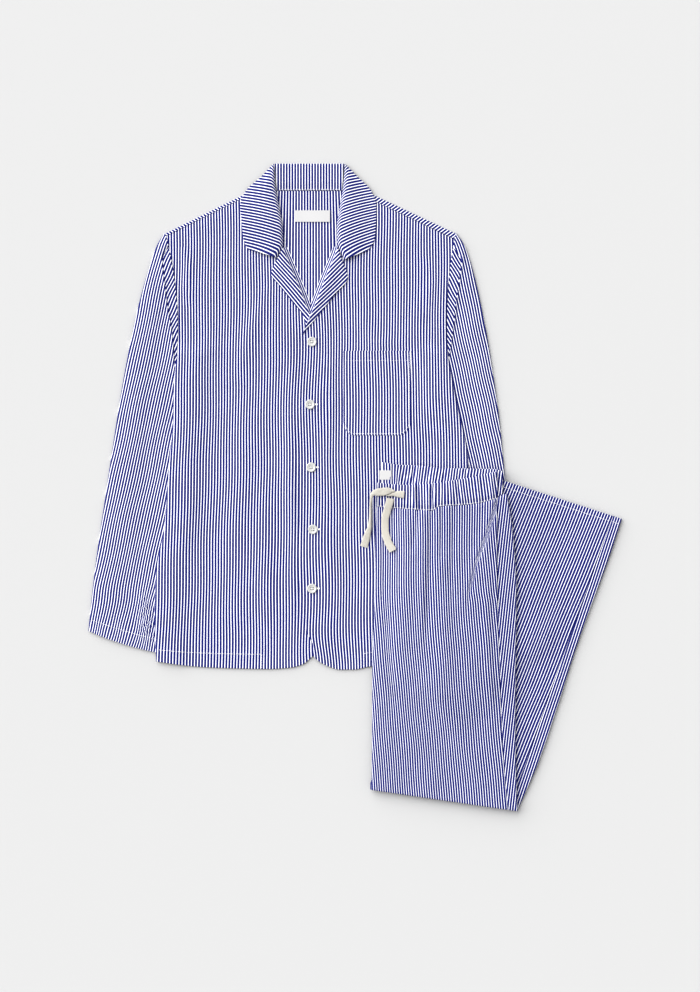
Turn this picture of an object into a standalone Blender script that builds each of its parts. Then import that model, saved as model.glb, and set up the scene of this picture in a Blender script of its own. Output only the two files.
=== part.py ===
"""Pyjama set laid flat: a long-sleeved revere-collar shirt with the folded trousers on its lower right.

Everything lies on the plane Z = 0. X runs to the right, Y towards the collar, Z up.
Lengths in the tables are millimetres, in the shirt's or the set's own frame, and MM turns them to metres.
"""
import math
from collections import namedtuple

import bmesh
import bpy
import numpy as np

MM = 0.001
WALL = 1.2          # a made-up layer of cotton poplin with its turnings
GAP = 0.3           # air between neighbouring pieces
SHIRT_ORIGIN = (-71.8, -281.3)   # the centre of the shirt's hem line in the set's frame

# ---------------------------------------------------------------- shirt sizes
NECK_Y = 741.0
COLLAR_TOP_Y = 782.8
SHOULDER_Y = 674.5
UNDERARM_Y = 492.0
LIFT = 3.4           # how far the body's side rises to lie over the sleeve
LIFT_FULL = 24.0     # width of the strip that lies on the sleeve
LIFT_END = 60.0      # where the body is back on the surface
LIFT_TOP_Y = 508.0
LIFT_FULL_Y = 486.0
PLACKET_X = 15.0     # the under front reaches this far past the centre
PLACKET_END_X = 45.0
PLACKET_TOP_Y = 590.5
PLACKET_FULL_Y = 561.5
HEM_FADE_Y = 60.0
SHOULDER_STRIP = {"right": 4.5, "left": 9.0}   # the back's turn over each shoulder

Edge = namedtuple("Edge", "y x")
BODY_RIGHT = [Edge(0, -236.5), Edge(92, -239), Edge(151, -236.4), Edge(217, -224.4), Edge(329, -215.6),
              Edge(374, -211), Edge(448, -209), Edge(486, -203.9)]
BODY_LEFT = [Edge(0, 245), Edge(92, 250), Edge(151, 250), Edge(217, 249), Edge(323, 247), Edge(358, 241.5),
             Edge(393, 233), Edge(448, 222), Edge(486, 215)]

Armhole = namedtuple("Armhole", "top_x under_x bow")
ARMHOLES = {"right": Armhole(-223.0, -203.8, 8.0), "left": Armhole(227.7, 214.9, -6.3)}
SHOULDER_NECK = {"right": Edge(NECK_Y, -88.5), "left": Edge(NECK_Y, 86.0)}

Hem = namedtuple("Hem", "x y")
HEM_RIGHT = [Hem(-237, 12), Hem(-178, 4), Hem(-119, 1), Hem(-60, 0), Hem(-30, 2), Hem(-10, 8), Hem(5, 22), Hem(16, 34)]
HEM_LEFT = [Hem(6.8, 23), Hem(14, 14), Hem(33, 3), Hem(47, -1), Hem(70, -1), Hem(97, 4), Hem(178, 5), Hem(246, 12)]
HEM_BACK = [Hem(-237, 13), Hem(-178, 6), Hem(-60, 6), Hem(0, 26), Hem(60, 6), Hem(178, 7), Hem(246, 13)]

INNER_RIGHT = [Edge(0, 15), Edge(520, 15), Edge(553, 1.6), Edge(654, -41.5), Edge(684, -45), Edge(741, -57)]
INNER_LEFT = [Edge(0, 6.8), Edge(23, 6.8), Edge(54, -2.5), Edge(130, -14.5), Edge(517, -14.5), Edge(538, -1.6),
              Edge(656, 46.5), Edge(684, 49), Edge(741, 58)]
BODY_ROWS = (0, 24, 60, 105, 151, 217, 270, 329, 374, 420, 455, 486, 508, 532, 561.5, 590.5, 619.7, 649, 674.5,
             700, 741)
SIDE_STEPS = (0, 12, 24, 36, 48, 60)

SleeveRow = namedtuple("SleeveRow", "outer_x outer_y inner_x inner_y bow")
SLEEVE_RIGHT = [SleeveRow(-223.5, 675.5, -204.4, 492, 8), SleeveRow(-235, 657, -204.9, 468, 6),
                SleeveRow(-249, 617, -199, 440, 4), SleeveRow(-266, 555, -193, 395, 2),
                SleeveRow(-276, 508, -193, 350, 1), SleeveRow(-289, 439, -197, 300, 0),
                SleeveRow(-303, 350, -203, 240, 0), SleeveRow(-317, 256, -209, 180, 0),
                SleeveRow(-328, 181, -216, 130, 0), SleeveRow(-336, 115, -220, 80, 0),
                SleeveRow(-341.6, 59, -221, 23, 0)]
SLEEVE_LEFT = [SleeveRow(228.2, 675.2, 215.5, 492, -6.3), SleeveRow(241, 656, 216.2, 468, -5),
               SleeveRow(254, 617, 211, 440, -3.5), SleeveRow(268, 556, 214, 395, -2),
               SleeveRow(277.5, 506, 219, 355, -1), SleeveRow(286.6, 447, 225, 310, 0),
               SleeveRow(294.5, 390, 228, 260, 0), SleeveRow(304.4, 292, 229, 200, 0),
               SleeveRow(318, 205, 229, 140, 0), SleeveRow(331, 110, 228, 85, 0), SleeveRow(336, 60, 224, 25, 0)]
SLEEVE_ACROSS = (0.14, 0.30, 0.46, 0.62, 0.78)
SLEEVE_EDGE = 2.9        # height of a sleeve where its two layers meet
SLEEVE_PUFF = 1.3
CUFF_BOW = -4.0

Band = namedtuple("Band", "fold_x fold_y outer_x outer_y base")
COLLAR_RIGHT = [Band(-54.4, 782.3, -57, 780.5, 3.0), Band(-53.4, 765, -73, 763.5, 3.0),
                Band(-50.5, 741, -98, 740, 3.0), Band(-45, 712, -106.5, 718, 3.0), Band(-40.5, 684, -104, 690, 3.0),
                Band(-39.8, 658, -101, 664, 3.0), Band(-49.6, 636.8, -94, 650, 3.0)]
COLLAR_LEFT = [Band(55.5, 782.3, 58, 780.5, 3.0), Band(54.5, 765, 74, 764, 3.0), Band(52, 741, 97, 740, 3.0),
               Band(47, 712, 104.6, 718, 3.0), Band(43, 684, 104, 690, 3.0), Band(43.7, 661, 101.5, 664, 3.0),
               Band(54, 633.4, 91, 648, 3.0)]
LAPEL_RIGHT = [Band(-40.6, 653.6, -49.0, 635.2, 3.0), Band(-36.5, 644, -58.4, 612, 3.0),
               Band(-24, 615, -44, 592, 3.0), Band(-12, 586, -26, 569, 3.0), Band(-3.5, 563, -11, 551, 3.0)]
LAPEL_LEFT = [Band(44.0, 654.6, 52.6, 632.2, 3.0), Band(41, 645, 60.4, 606, 3.4), Band(27, 611, 40, 580, 4.5),
              Band(12, 572, 14, 547, 4.5), Band(-1.5, 538, -9.8, 518, 4.5)]
Arch = namedtuple("Arch", "across height")
ROLL = [Arch(0.0, 0.25), Arch(0.10, 0.85), Arch(0.24, 1.0), Arch(0.5, 0.72), Arch(0.78, 0.25), Arch(1.0, 0.0)]
COLLAR_RISE = 5.0
LAPEL_RISE = 2.6

POCKET_X = (53.5, 158.0)
POCKET_Y = (362.0, 493.0)
POCKET_CORNER = 22.0
LABEL_WALL = 1.0
NECK_LABEL = (-22.0, 692.7, 32.6, 710.5)      # left, bottom, right, top
WAIST_LABEL = (37.4, 12.0, 55.5, 26.5)
BUTTON_D = 15.0
BUTTON_T = 2.6
Button = namedtuple("Button", "x y")
BUTTONS = [Button(4.5, 507), Button(1.6, 410), Button(3.3, 312.6), Button(5.9, 216.5), Button(4.8, 125)]

# ------------------------------------------------------------- trousers sizes
HIDDEN = 3.4             # three hidden layers of one leg, pressed together
BAND_WALL = 2.7          # elastic in its casing
BAND_GAP = 0.8
REST_REACH = 30.0        # cloth stays level this far past what it lies on
REST_SLOPE = 0.16        # and then comes down this steeply
Leg = namedtuple("Leg", "y left seam right")
UPPER_LEG = [Leg(-30, 32.5, 219, 234), Leg(-70, 31.6, 219, 242), Leg(-110, 31.2, 219, 246), Leg(-159, 30.5, 219.5, 249),
             Leg(-217, 28.5, 221, 248.5), Leg(-258, 26.8, 223, 248), Leg(-314, 26, 225, 248), Leg(-361, 26, 227, 248),
             Leg(-417, 25.6, 231, 249), Leg(-468, 25.3, 236, 251)]
LOWER_LEG = [Leg(-468, 25.6, 237, 251), Leg(-398, 49.3, 267, 285), Leg(-325, 74.3, 295, 312.5),
             Leg(-234, 105.5, 330, 344), Leg(-112, 147, 376, 391), Leg(-48, 169, 399, 413)]
KNEE_RISE = 33.0 / 226.0     # the knee fold and the hem slope down to the right
HEM_RISE = 71.0 / 220.0
WAIST_SEAM = [Hem(33, -30), Hem(96, -35), Hem(118, -36), Hem(130, -29.6), Hem(181, -26), Hem(213, -19), Hem(229, -12)]
BAND_FRONT_TOP = [Hem(32.6, 7.4), Hem(78, 4), Hem(118, 6), Hem(150, 11), Hem(181, 16), Hem(208, 22.5), Hem(222, 25)]
BAND_BACK_TOP = [Hem(42, 39), Hem(69, 35), Hem(96, 34), Hem(134, 30), Hem(181, 29), Hem(218, 28), Hem(227, 25)]
BAND_FRONT_X = (32.8, 219.0)
BAND_BACK_X = (41.5, 227.0)
LEG_ROWS = 16
LEG_COLUMNS = 8

TAPE_REACH = 4.0
TAPE_SLOPE = 1.0
Route = namedtuple("Route", "x y height half")   # height over what lies there, half the width that is seen
TAPE_RIGHT = [Route(75.5, -11.6, 0.2, 6), Route(63, -10.6, 1.4, 6), Route(53, -9.2, 2.4, 5), Route(44, -6.6, 1.8, 6),
              Route(36, -6, 0.8, 5.5), Route(29, -10, 0.2, 3.5), Route(25.6, -18, 0.2, 2.4), Route(25, -26, 0.1, 2.4),
              Route(24.8, -40, 0.1, 2.4), Route(23.8, -58, 0.1, 3), Route(19.5, -75, 0.1, 5.5),
              Route(14.3, -91, 0.1, 6)]
TAPE_LEFT = [Route(53.9, -16.6, 0.1, 6), Route(53, -22, 0.1, 6), Route(49.4, -35, 0.1, 6), Route(45.9, -50.4, 0.1, 6),
             Route(46, -66, 0.1, 6), Route(49.6, -81.4, 0.1, 6), Route(58, -98, 0.1, 6)]

Finish = namedtuple("Finish", "colour roughness")
COTTON = Finish((0.32, 0.38, 0.72), 0.85)
COTTON_EDGE = Finish((0.26, 0.31, 0.62), 0.85)
TAPE = Finish((0.80, 0.77, 0.68), 0.9)
LABEL = Finish((0.86, 0.86, 0.84), 0.7)
SHELL_WHITE = Finish((0.85, 0.85, 0.82), 0.3)


def clear_scene():
    """Removes whatever the scene holds."""
    for item in list(bpy.data.objects):
        bpy.data.objects.remove(item, do_unlink=True)


def look(name, finish):
    """A Principled material of one finish."""
    material = bpy.data.materials.new(name)
    material.use_nodes = True
    shader = material.node_tree.nodes["Principled BSDF"]
    shader.inputs["Base Color"].default_value = (*finish.colour, 1.0)
    shader.inputs["Roughness"].default_value = finish.roughness
    shader.inputs["Metallic"].default_value = 0.0
    material.diffuse_color = (*finish.colour, 1.0)
    return material


def add_object(name, mesh, finish):
    """Puts a mesh in the garment's collection with its own material."""
    item = bpy.data.objects.new(name, mesh)
    item.data.materials.append(look(name + "_finish", finish))
    COLLECTION.objects.link(item)
    return item


def column(table, field):
    return [getattr(row, field) for row in table]


def lookup(table, key, value, at):
    """Straight-line reading of one column of a table against another."""
    keys = np.array(column(table, key), float)
    values = np.array(column(table, value), float)
    order = np.argsort(keys)
    return float(np.interp(at, keys[order], values[order]))


def smooth(t):
    t = min(max(t, 0.0), 1.0)
    return t * t * (3.0 - 2.0 * t)


def refined(grid, parts=3):
    """A grid of points with each of its cells cut into parts along both sides."""
    for axis in (0, 1):
        count = grid.shape[axis]
        at = np.linspace(0.0, count - 1.0, (count - 1) * parts + 1)
        low = np.minimum(at.astype(int), count - 2)
        share = (at - low).reshape((-1, 1, 1) if axis == 0 else (1, -1, 1))
        grid = np.take(grid, low, axis) * (1.0 - share) + np.take(grid, low + 1, axis) * share
    return grid


def sheet(name, points, finish, wall=WALL):
    """A cloth wall grown up from its underside, which is a grid of points in millimetres."""
    points = np.asarray(points, float) * MM
    rows, columns = points.shape[:2]
    bm = bmesh.new()
    bmesh.ops.create_grid(bm, x_segments=columns - 1, y_segments=rows - 1, size=1.0)
    for vert in bm.verts:
        i = round((vert.co.x + 1.0) / 2.0 * (columns - 1))
        j = round((vert.co.y + 1.0) / 2.0 * (rows - 1))
        vert.co = points[j, i]
    bm.normal_update()
    if sum(face.normal.z * face.calc_area() for face in bm.faces) < 0:
        bmesh.ops.reverse_faces(bm, faces=bm.faces)
    mesh = bpy.data.meshes.new(name)
    bm.to_mesh(mesh)
    bm.free()
    item = add_object(name, mesh, finish)
    solid = item.modifiers.new("Wall", "SOLIDIFY")
    solid.thickness = wall * MM
    solid.offset = 1.0
    solid.use_even_offset = True
    return item


def loft(name, loops, caps, finish):
    """Closes a stack of loops of equal length into one body; caps says which ends get a face of their own."""
    bm = bmesh.new()
    rings = [[bm.verts.new(np.asarray(point) * MM) for point in loop] for loop in loops]
    count = len(rings[0])
    for low, high in zip(rings, rings[1:] + rings[:1] if not caps else rings[1:]):
        for i in range(count):
            j = (i + 1) % count
            bm.faces.new((low[i], low[j], high[j], high[i]))
    if caps:
        bm.faces.new(list(reversed(rings[0])))
        bm.faces.new(rings[-1])
    bmesh.ops.recalc_face_normals(bm, faces=bm.faces)
    mesh = bpy.data.meshes.new(name)
    bm.to_mesh(mesh)
    bm.free()
    return add_object(name, mesh, finish)


def on_set(point):
    """From the shirt's frame to the set's."""
    return np.array([point[0] + SHIRT_ORIGIN[0], point[1] + SHIRT_ORIGIN[1], point[2]])


# ------------------------------------------------------------------ the shirt
def armhole_x(side, y):
    """The armhole seam, a shallow bow from the shoulder point to the underarm."""
    hole = ARMHOLES[side]
    t = (SHOULDER_Y - y) / (SHOULDER_Y - UNDERARM_Y)
    return hole.top_x + (hole.under_x - hole.top_x) * t + hole.bow * 4.0 * t * (1.0 - t)


def body_edge(side, y, drop=0.0):
    """The outer edge of the body at a height: side seam, armhole, then the shoulder line lowered by drop."""
    if y <= LIFT_FULL_Y:
        return lookup(BODY_RIGHT if side == "right" else BODY_LEFT, "y", "x", y)
    top = SHOULDER_Y - drop
    if y <= top:
        return armhole_x(side, max(min(y, SHOULDER_Y), LIFT_FULL_Y))
    start = armhole_x(side, top)
    neck = SHOULDER_NECK[side]
    return start + (neck.x - start) * (y - top) / (neck.y - SHOULDER_Y)


def side_lift(from_edge, y):
    """How high the body stands where its side lies on the sleeve."""
    across = 1.0 - smooth((from_edge - LIFT_FULL) / (LIFT_END - LIFT_FULL))
    along = 1.0 - smooth((y - LIFT_FULL_Y) / (LIFT_TOP_Y - LIFT_FULL_Y))
    return LIFT * across * along


def placket_lift(x, y):
    """How high the upper front stands where it laps the under front."""
    across = 1.0 - smooth((x - PLACKET_X - 1.0) / (PLACKET_END_X - PLACKET_X - 1.0))
    along = 1.0 - smooth((y - PLACKET_FULL_Y) / (PLACKET_TOP_Y - PLACKET_FULL_Y))
    return (WALL + GAP) * across * along


def body_row(y, left, right, hem, level, middle, sides):
    """One row of a body panel: fixed steps in from each named side, even steps between."""
    width = right - left
    scale = min(1.0, 0.6 * width / (SIDE_STEPS[-1] * len(sides)))
    starts = [left + step * scale for step in SIDE_STEPS] if "right" in sides else [left]
    ends = [right - step * scale for step in reversed(SIDE_STEPS)] if "left" in sides else [right]
    between = list(np.linspace(starts[-1], ends[0], middle + 1)[1:-1])
    points = []
    for x in starts + between + ends:
        lift = 0.0
        if "right" in sides:
            lift = max(lift, side_lift(x - left, y))
        if "left" in sides:
            lift = max(lift, side_lift(right - x, y))
        fade = 1.0 - min(y / HEM_FADE_Y, 1.0)
        points.append((x, y + lookup(hem, "x", "y", x) * fade, level + lift))
    return points


def build_back():
    rows = []
    for y in BODY_ROWS:
        rows.append(body_row(y, body_edge("right", y), body_edge("left", y), HEM_BACK, 0.0, 5, ("right", "left")))
    points = [[on_set(point) for point in row] for row in rows]
    sheet("shirt_back", points, COTTON)


def build_front_right():
    """The under front; its shoulder and neck edges lie below the collar."""
    drop = SHOULDER_STRIP["right"]
    rows = []
    for y in BODY_ROWS[:-1] + (NECK_Y - drop - 1.0,):
        left = body_edge("right", y, drop)
        right = lookup(INNER_RIGHT, "y", "x", y)
        rows.append(body_row(y, left, right, HEM_RIGHT, WALL + GAP, 4, ("right",)))
    sheet("shirt_front_right", [[on_set(point) for point in row] for row in rows], COTTON)


def build_front_left():
    """The upper front, raised along the placket where it laps the under front."""
    drop = SHOULDER_STRIP["left"]
    rows = []
    for y in BODY_ROWS[:-1] + (NECK_Y - drop - 1.0,):
        edge = lookup(INNER_LEFT, "y", "x", y)
        right = body_edge("left", y, drop)
        steps = [edge + (PLACKET_END_X - edge) * part for part in (0.0, 0.5, 0.75)] if edge < PLACKET_X else []
        if edge >= PLACKET_X:
            steps = [edge + (right - edge) * part for part in (0.0, 0.07, 0.14)]
        start = steps[-1] + (steps[-1] - steps[-2])
        row = [(x, y + lookup(HEM_LEFT, "x", "y", x) * (1.0 - min(y / HEM_FADE_Y, 1.0)), WALL + GAP) for x in steps]
        row += body_row(y, start, right, HEM_LEFT, WALL + GAP, 3, ("left",))
        rows.append([(x, py, z + placket_lift(x, y)) for x, py, z in row])
    points = [[on_set(point) for point in row] for row in rows]
    sheet("shirt_front_left", points, COTTON)
    return np.array(points)


def sleeve_sections(table):
    """For each row of a sleeve, its outer loop and its inner loop, one wall inside it."""
    outer_loops, inner_loops, tops = [], [], []
    for index, row in enumerate(table):
        start = np.array([row.outer_x, row.outer_y])
        end = np.array([row.inner_x, row.inner_y])
        width = float(np.linalg.norm(end - start))
        bow = CUFF_BOW if index == len(table) - 1 else 0.0

        def at(part, z):
            point = start + (end - start) * part
            curve = 4.0 * part * (1.0 - part)
            return on_set((point[0] + row.bow * curve, point[1] + bow * curve, z))

        puff = SLEEVE_PUFF * smooth(index / 2.0) * (1.0 - smooth((index - 8) / 2.0) * 0.5)
        heights = [SLEEVE_EDGE + puff * math.sin(math.pi * min(part / 0.72, 1.0)) for part in SLEEVE_ACROSS]
        near, far = 1.6 / width, 1.0 - 1.6 / width
        outer = [at(0.0, 0.8), at(near, 0.0)] + [at(part, 0.0) for part in SLEEVE_ACROSS] + [at(far, 0.0), at(1.0, 0.8)]
        outer += [at(1.0, SLEEVE_EDGE - 0.8), at(far, SLEEVE_EDGE)]
        outer += [at(part, z) for part, z in reversed(list(zip(SLEEVE_ACROSS, heights)))]
        outer += [at(near, SLEEVE_EDGE), at(0.0, SLEEVE_EDGE - 0.8)]
        in_near, in_far = 2.8 / width, 1.0 - 2.8 / width
        edge_near, edge_far = 1.4 / width, 1.0 - 1.4 / width
        low, high = WALL, SLEEVE_EDGE - WALL
        inner = [at(edge_near, low + 0.1), at(in_near, low)] + [at(part, low) for part in SLEEVE_ACROSS]
        inner += [at(in_far, low), at(edge_far, low + 0.1), at(edge_far, high - 0.1), at(in_far, high)]
        inner += [at(part, z - WALL) for part, z in reversed(list(zip(SLEEVE_ACROSS, heights)))]
        inner += [at(in_near, high), at(edge_near, high - 0.1)]
        outer_loops.append(outer)
        inner_loops.append(inner)
        row_top = [at(part, z) for part, z in zip(SLEEVE_ACROSS, heights)]
        tops.append([at(near, SLEEVE_EDGE)] + row_top + [at(far, SLEEVE_EDGE)])
    return outer_loops, inner_loops, refined(np.array(tops)).reshape(-1, 3)


def build_sleeve(name, table):
    """A flattened tube, open at the armhole and at the cuff."""
    outer, inner, tops = sleeve_sections(table)
    loft(name, outer + inner[::-1], False, COTTON)
    return tops


def build_band(name, table, rise):
    """A collar leaf or lapel that rolls up from its fold and lies down to its outer edge."""
    rows = []
    for row in table:
        fold = np.array([row.fold_x, row.fold_y])
        outer = np.array([row.outer_x, row.outer_y])
        width = float(np.linalg.norm(outer - fold))
        height = rise * min(1.0, width / 30.0)
        points = []
        for step in ROLL:
            xy = fold + (outer - fold) * step.across
            points.append(on_set((xy[0], xy[1], row.base + height * step.height)))
        rows.append(points)
    sheet(name, rows, COTTON)


def build_collar_back():
    """The stand of the collar behind the neck, folded over at its top edge."""
    low, top, start = 0.0, 3.4, NECK_Y + 0.5
    slot = (1.5, 1.9)
    profile = [(start, low), (COLLAR_TOP_Y - 1.0, low), (COLLAR_TOP_Y, 1.0), (COLLAR_TOP_Y, top - 1.0),
               (COLLAR_TOP_Y - 1.0, top), (start, top - 0.6), (start, slot[1]), (COLLAR_TOP_Y - 2.4, slot[1]),
               (COLLAR_TOP_Y - 2.4, slot[0] - 0.2), (start, slot[0] - 0.2)]
    loops = []
    for part in np.linspace(0.0, 1.0, 5):
        x = -49.4 + (51.0 + 49.4) * part
        spread = 1.0 if part in (0.0, 1.0) else 0.0
        lean = (-3.6 if part < 0.5 else 2.8) * spread
        loops.append([on_set((x + lean * (y - start) / (COLLAR_TOP_Y - start), y, z)) for y, z in profile])
    loft("collar_back", loops, True, COTTON)


def build_pocket():
    """A patch pocket on the upper front, its lower corners rounded."""
    base = 2.0 * (WALL + GAP)
    rows = []
    for part in (0.0, 0.03, 0.10, 0.18, 0.55, 1.0):
        y = POCKET_Y[0] + (POCKET_Y[1] - POCKET_Y[0]) * part
        up = min(y - POCKET_Y[0], POCKET_CORNER)
        inset = POCKET_CORNER - math.sqrt(max(POCKET_CORNER ** 2 - (POCKET_CORNER - up) ** 2, 0.0))
        xs = np.linspace(POCKET_X[0] + inset, POCKET_X[1] - inset, 5)
        edge = body_edge("left", y)
        rows.append([on_set((x, y, base + 1.1 * side_lift(edge - x, y))) for x in xs])
    sheet("pocket", rows, COTTON)


def build_buttons():
    """Five flat buttons on the placket."""
    base = 2.0 * (WALL + GAP) + WALL + GAP
    for number, place in enumerate(BUTTONS, start=1):
        bm = bmesh.new()
        bmesh.ops.create_cone(bm, cap_ends=True, segments=20, radius1=BUTTON_D / 2 * MM, radius2=BUTTON_D / 2 * MM,
                              depth=BUTTON_T * MM)
        mesh = bpy.data.meshes.new("button")
        bm.to_mesh(mesh)
        bm.free()
        mesh.shade_smooth()
        mesh.set_sharp_from_angle(angle=math.radians(40))
        item = add_object(f"button_{number}", mesh, SHELL_WHITE)
        item.location = on_set((place.x, place.y, base + BUTTON_T / 2)) * MM
        bevel = item.modifiers.new("Rim", "BEVEL")
        bevel.width = 0.6 * MM
        bevel.segments = 1


def build_label(name, box, height, frame):
    rows = [[frame((x, y, height)) for x in (box[0], box[2])] for y in (box[1], box[3])]
    sheet(name, rows, LABEL, LABEL_WALL)


# --------------------------------------------------------------- the trousers
def rest_height(supports, x, y, reach=REST_REACH, slope=REST_SLOPE):
    """The underside of cloth that lies over the supports: level a little past each, then down to the floor."""
    past = np.hypot(supports[:, 0] - x, supports[:, 1] - y) - reach
    return float(max(0.0, np.max(supports[:, 2] + GAP - slope * np.maximum(past, 0.0))))


def leg_grid(table, top, bottom, supports):
    """The underside of a folded leg: columns from its left edge through the outseam to its right edge."""
    rows = []
    for part in np.linspace(0.0, 1.0, LEG_ROWS + 1):
        y_mid = table[0].y + (table[-1].y - table[0].y) * part
        left = lookup(table, "y", "left", y_mid)
        seam = lookup(table, "y", "seam", y_mid)
        right = lookup(table, "y", "right", y_mid)
        xs = list(np.linspace(left, seam, LEG_COLUMNS)) + [(seam + right) / 2, right]
        row = []
        for x in xs:
            y = top(x) + (bottom(x) - top(x)) * part
            row.append((x, y, rest_height(supports, x, y)))
        rows.append(row)
    return np.array(rows)


def knee_fold(x):
    return -468.0 - (x - 25.3) * KNEE_RISE


def leg_hem(x):
    return -48.8 + (413.4 - x) * HEM_RISE


def hidden_layers(name, grid):
    """The folded layers that do not show, as one solid with a groove between each pair at its edges."""
    rows, columns = grid.shape[:2]
    rim = [(0, i) for i in range(columns)] + [(j, columns - 1) for j in range(1, rows)]
    rim += [(rows - 1, i) for i in range(columns - 2, -1, -1)] + [(j, 0) for j in range(rows - 2, 0, -1)]
    centre = grid[:, :, :2].reshape(-1, 2).mean(axis=0)
    extent = np.ptp(grid[:, :, :2].reshape(-1, 2), axis=0) / 2.0
    bm = bmesh.new()

    def vertex(j, i, part, inset):
        x, y, z = grid[j, i]
        x = x - np.sign(x - centre[0]) * inset * min(1.0, abs(x - centre[0]) / extent[0] * 2.0)
        y = y - np.sign(y - centre[1]) * inset * min(1.0, abs(y - centre[1]) / extent[1] * 2.0)
        return bm.verts.new((x * MM, y * MM, (z + HIDDEN * part) * MM))

    levels = [(0.0, 1.6), (0.17, 1.0), (0.36, 2.4), (0.5, 1.0), (0.66, 2.4), (0.83, 1.0), (1.0, 1.6)]
    loops = [[vertex(j, i, part, inset) for j, i in rim] for part, inset in levels]
    count = len(rim)
    for low, high in zip(loops, loops[1:]):
        for k in range(count):
            n = (k + 1) % count
            bm.faces.new((low[k], low[n], high[n], high[k]))
    for level, loop in ((0, loops[0]), (len(levels) - 1, loops[-1])):
        part, inset = levels[level]
        at = dict(zip(rim, loop))
        for j in range(1, rows - 1):
            for i in range(1, columns - 1):
                at[(j, i)] = vertex(j, i, part, inset)
        for j in range(rows - 1):
            for i in range(columns - 1):
                bm.faces.new((at[(j, i)], at[(j, i + 1)], at[(j + 1, i + 1)], at[(j + 1, i)]))
    bmesh.ops.recalc_face_normals(bm, faces=bm.faces)
    mesh = bpy.data.meshes.new(name)
    bm.to_mesh(mesh)
    bm.free()
    add_object(name, mesh, COTTON_EDGE)


def build_leg(front, back, hidden, grid):
    """The hidden layers, and on them the front panel and the strip of the back panel past the outseam."""
    hidden_layers(hidden, grid)
    raised = grid + np.array([0.0, 0.0, HIDDEN + GAP])
    front_part = raised[:, :LEG_COLUMNS].copy()
    back_part = raised[:, LEG_COLUMNS - 1:].copy()
    front_part[:, -1, 0] -= GAP / 2
    back_part[:, 0, 0] += GAP / 2
    sheet(front, front_part, COTTON)
    sheet(back, back_part, COTTON)
    return refined(raised, 6).reshape(-1, 3) + np.array([0.0, 0.0, WALL])


def waistband(name, span, top, level, supports, low):
    """Half of the elastic waistband, doubled over."""
    rows = []
    for part in np.linspace(0.0, 1.0, 4):
        row = []
        for x in np.linspace(span[0], span[1], 10):
            seam = lookup(WAIST_SEAM, "x", "y", x) + low
            y = seam + (lookup(top, "x", "y", x) - seam) * part
            row.append((x, y, level + rest_height(supports, x, y)))
        rows.append(row)
    sheet(name, rows, COTTON, BAND_WALL)
    return refined(np.array(rows), 6).reshape(-1, 3) + np.array([0.0, 0.0, BAND_WALL])


def tape(name, route, supports):
    """A flat tape along its route."""
    points = np.array([tuple(p) for p in route])
    lengths = np.concatenate([[0.0], np.cumsum(np.linalg.norm(np.diff(points[:, :2], axis=0), axis=1))])
    at = np.linspace(0.0, lengths[-1], 15)
    line = np.stack([np.interp(at, lengths, points[:, k]) for k in range(4)], axis=1)
    along = np.gradient(line[:, :2], axis=0)
    along /= np.linalg.norm(along, axis=1)[:, None]
    side = np.stack([along[:, 1], -along[:, 0]], axis=1) * line[:, 3:]
    rows = []
    for (x, y, z, half), (dx, dy) in zip(line, side):
        height = max(rest_height(supports, x + dx * k, y + dy * k, TAPE_REACH, TAPE_SLOPE) for k in (-1, 0, 1))
        rows.append([(x + dx * k, y + dy * k, height + z) for k in (-1, 0, 1)])
    sheet(name, rows, TAPE)


def build_trousers(shirt_tops):
    lower = leg_grid(LOWER_LEG, knee_fold_lower, leg_hem, shirt_tops)
    lower_tops = build_leg("leg_right_front", "leg_right_back", "leg_lower_layers", lower)
    supports = np.vstack([shirt_tops, lower_tops])
    upper = leg_grid(UPPER_LEG, waist_line, knee_fold, supports)
    upper_tops = build_leg("leg_left_front", "leg_left_back", "leg_upper_layers", upper)
    waistband("waistband_back", BAND_BACK_X, BAND_BACK_TOP, 0.0, supports, 2.4)
    band_tops = waistband("waistband_front", BAND_FRONT_X, BAND_FRONT_TOP, BAND_WALL + BAND_GAP, supports, 1.3)
    height = rest_height(supports, 46.0, 19.0) + BAND_WALL + 2 * GAP
    build_label("waist_label", WAIST_LABEL, height, np.array)
    under_tapes = np.vstack([shirt_tops, upper_tops, band_tops])
    tape("drawstring_right", TAPE_RIGHT, under_tapes)
    tape("drawstring_left", TAPE_LEFT, under_tapes)


def knee_fold_lower(x):
    return knee_fold(x) + 0.5


def waist_line(x):
    return lookup(WAIST_SEAM, "x", "y", x)


def main():
    build_back()
    build_front_right()
    front_left = build_front_left()
    build_sleeve("sleeve_right", SLEEVE_RIGHT)
    sleeve_tops = build_sleeve("sleeve_left", SLEEVE_LEFT)
    build_collar_back()
    build_band("collar_leaf_right", COLLAR_RIGHT, COLLAR_RISE)
    build_band("collar_leaf_left", COLLAR_LEFT, COLLAR_RISE)
    build_band("lapel_right", LAPEL_RIGHT, LAPEL_RISE)
    build_band("lapel_left", LAPEL_LEFT, LAPEL_RISE)
    build_pocket()
    build_buttons()
    build_label("neck_label", NECK_LABEL, WALL + GAP, on_set)
    front_tops = refined(front_left).reshape(-1, 3) + np.array([0.0, 0.0, WALL])
    build_trousers(np.vstack([front_tops, sleeve_tops]))


clear_scene()
COLLECTION = bpy.data.collections.new("pyjama_set")
bpy.context.scene.collection.children.link(COLLECTION)
main()
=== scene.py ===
"""A striped cotton pyjama set laid out flat: a shirt with a notched collar, and folded trousers on it."""

import math
from collections import namedtuple
from functools import lru_cache

import bmesh
import bpy
import numpy as np
from mathutils import Matrix, Vector


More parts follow.
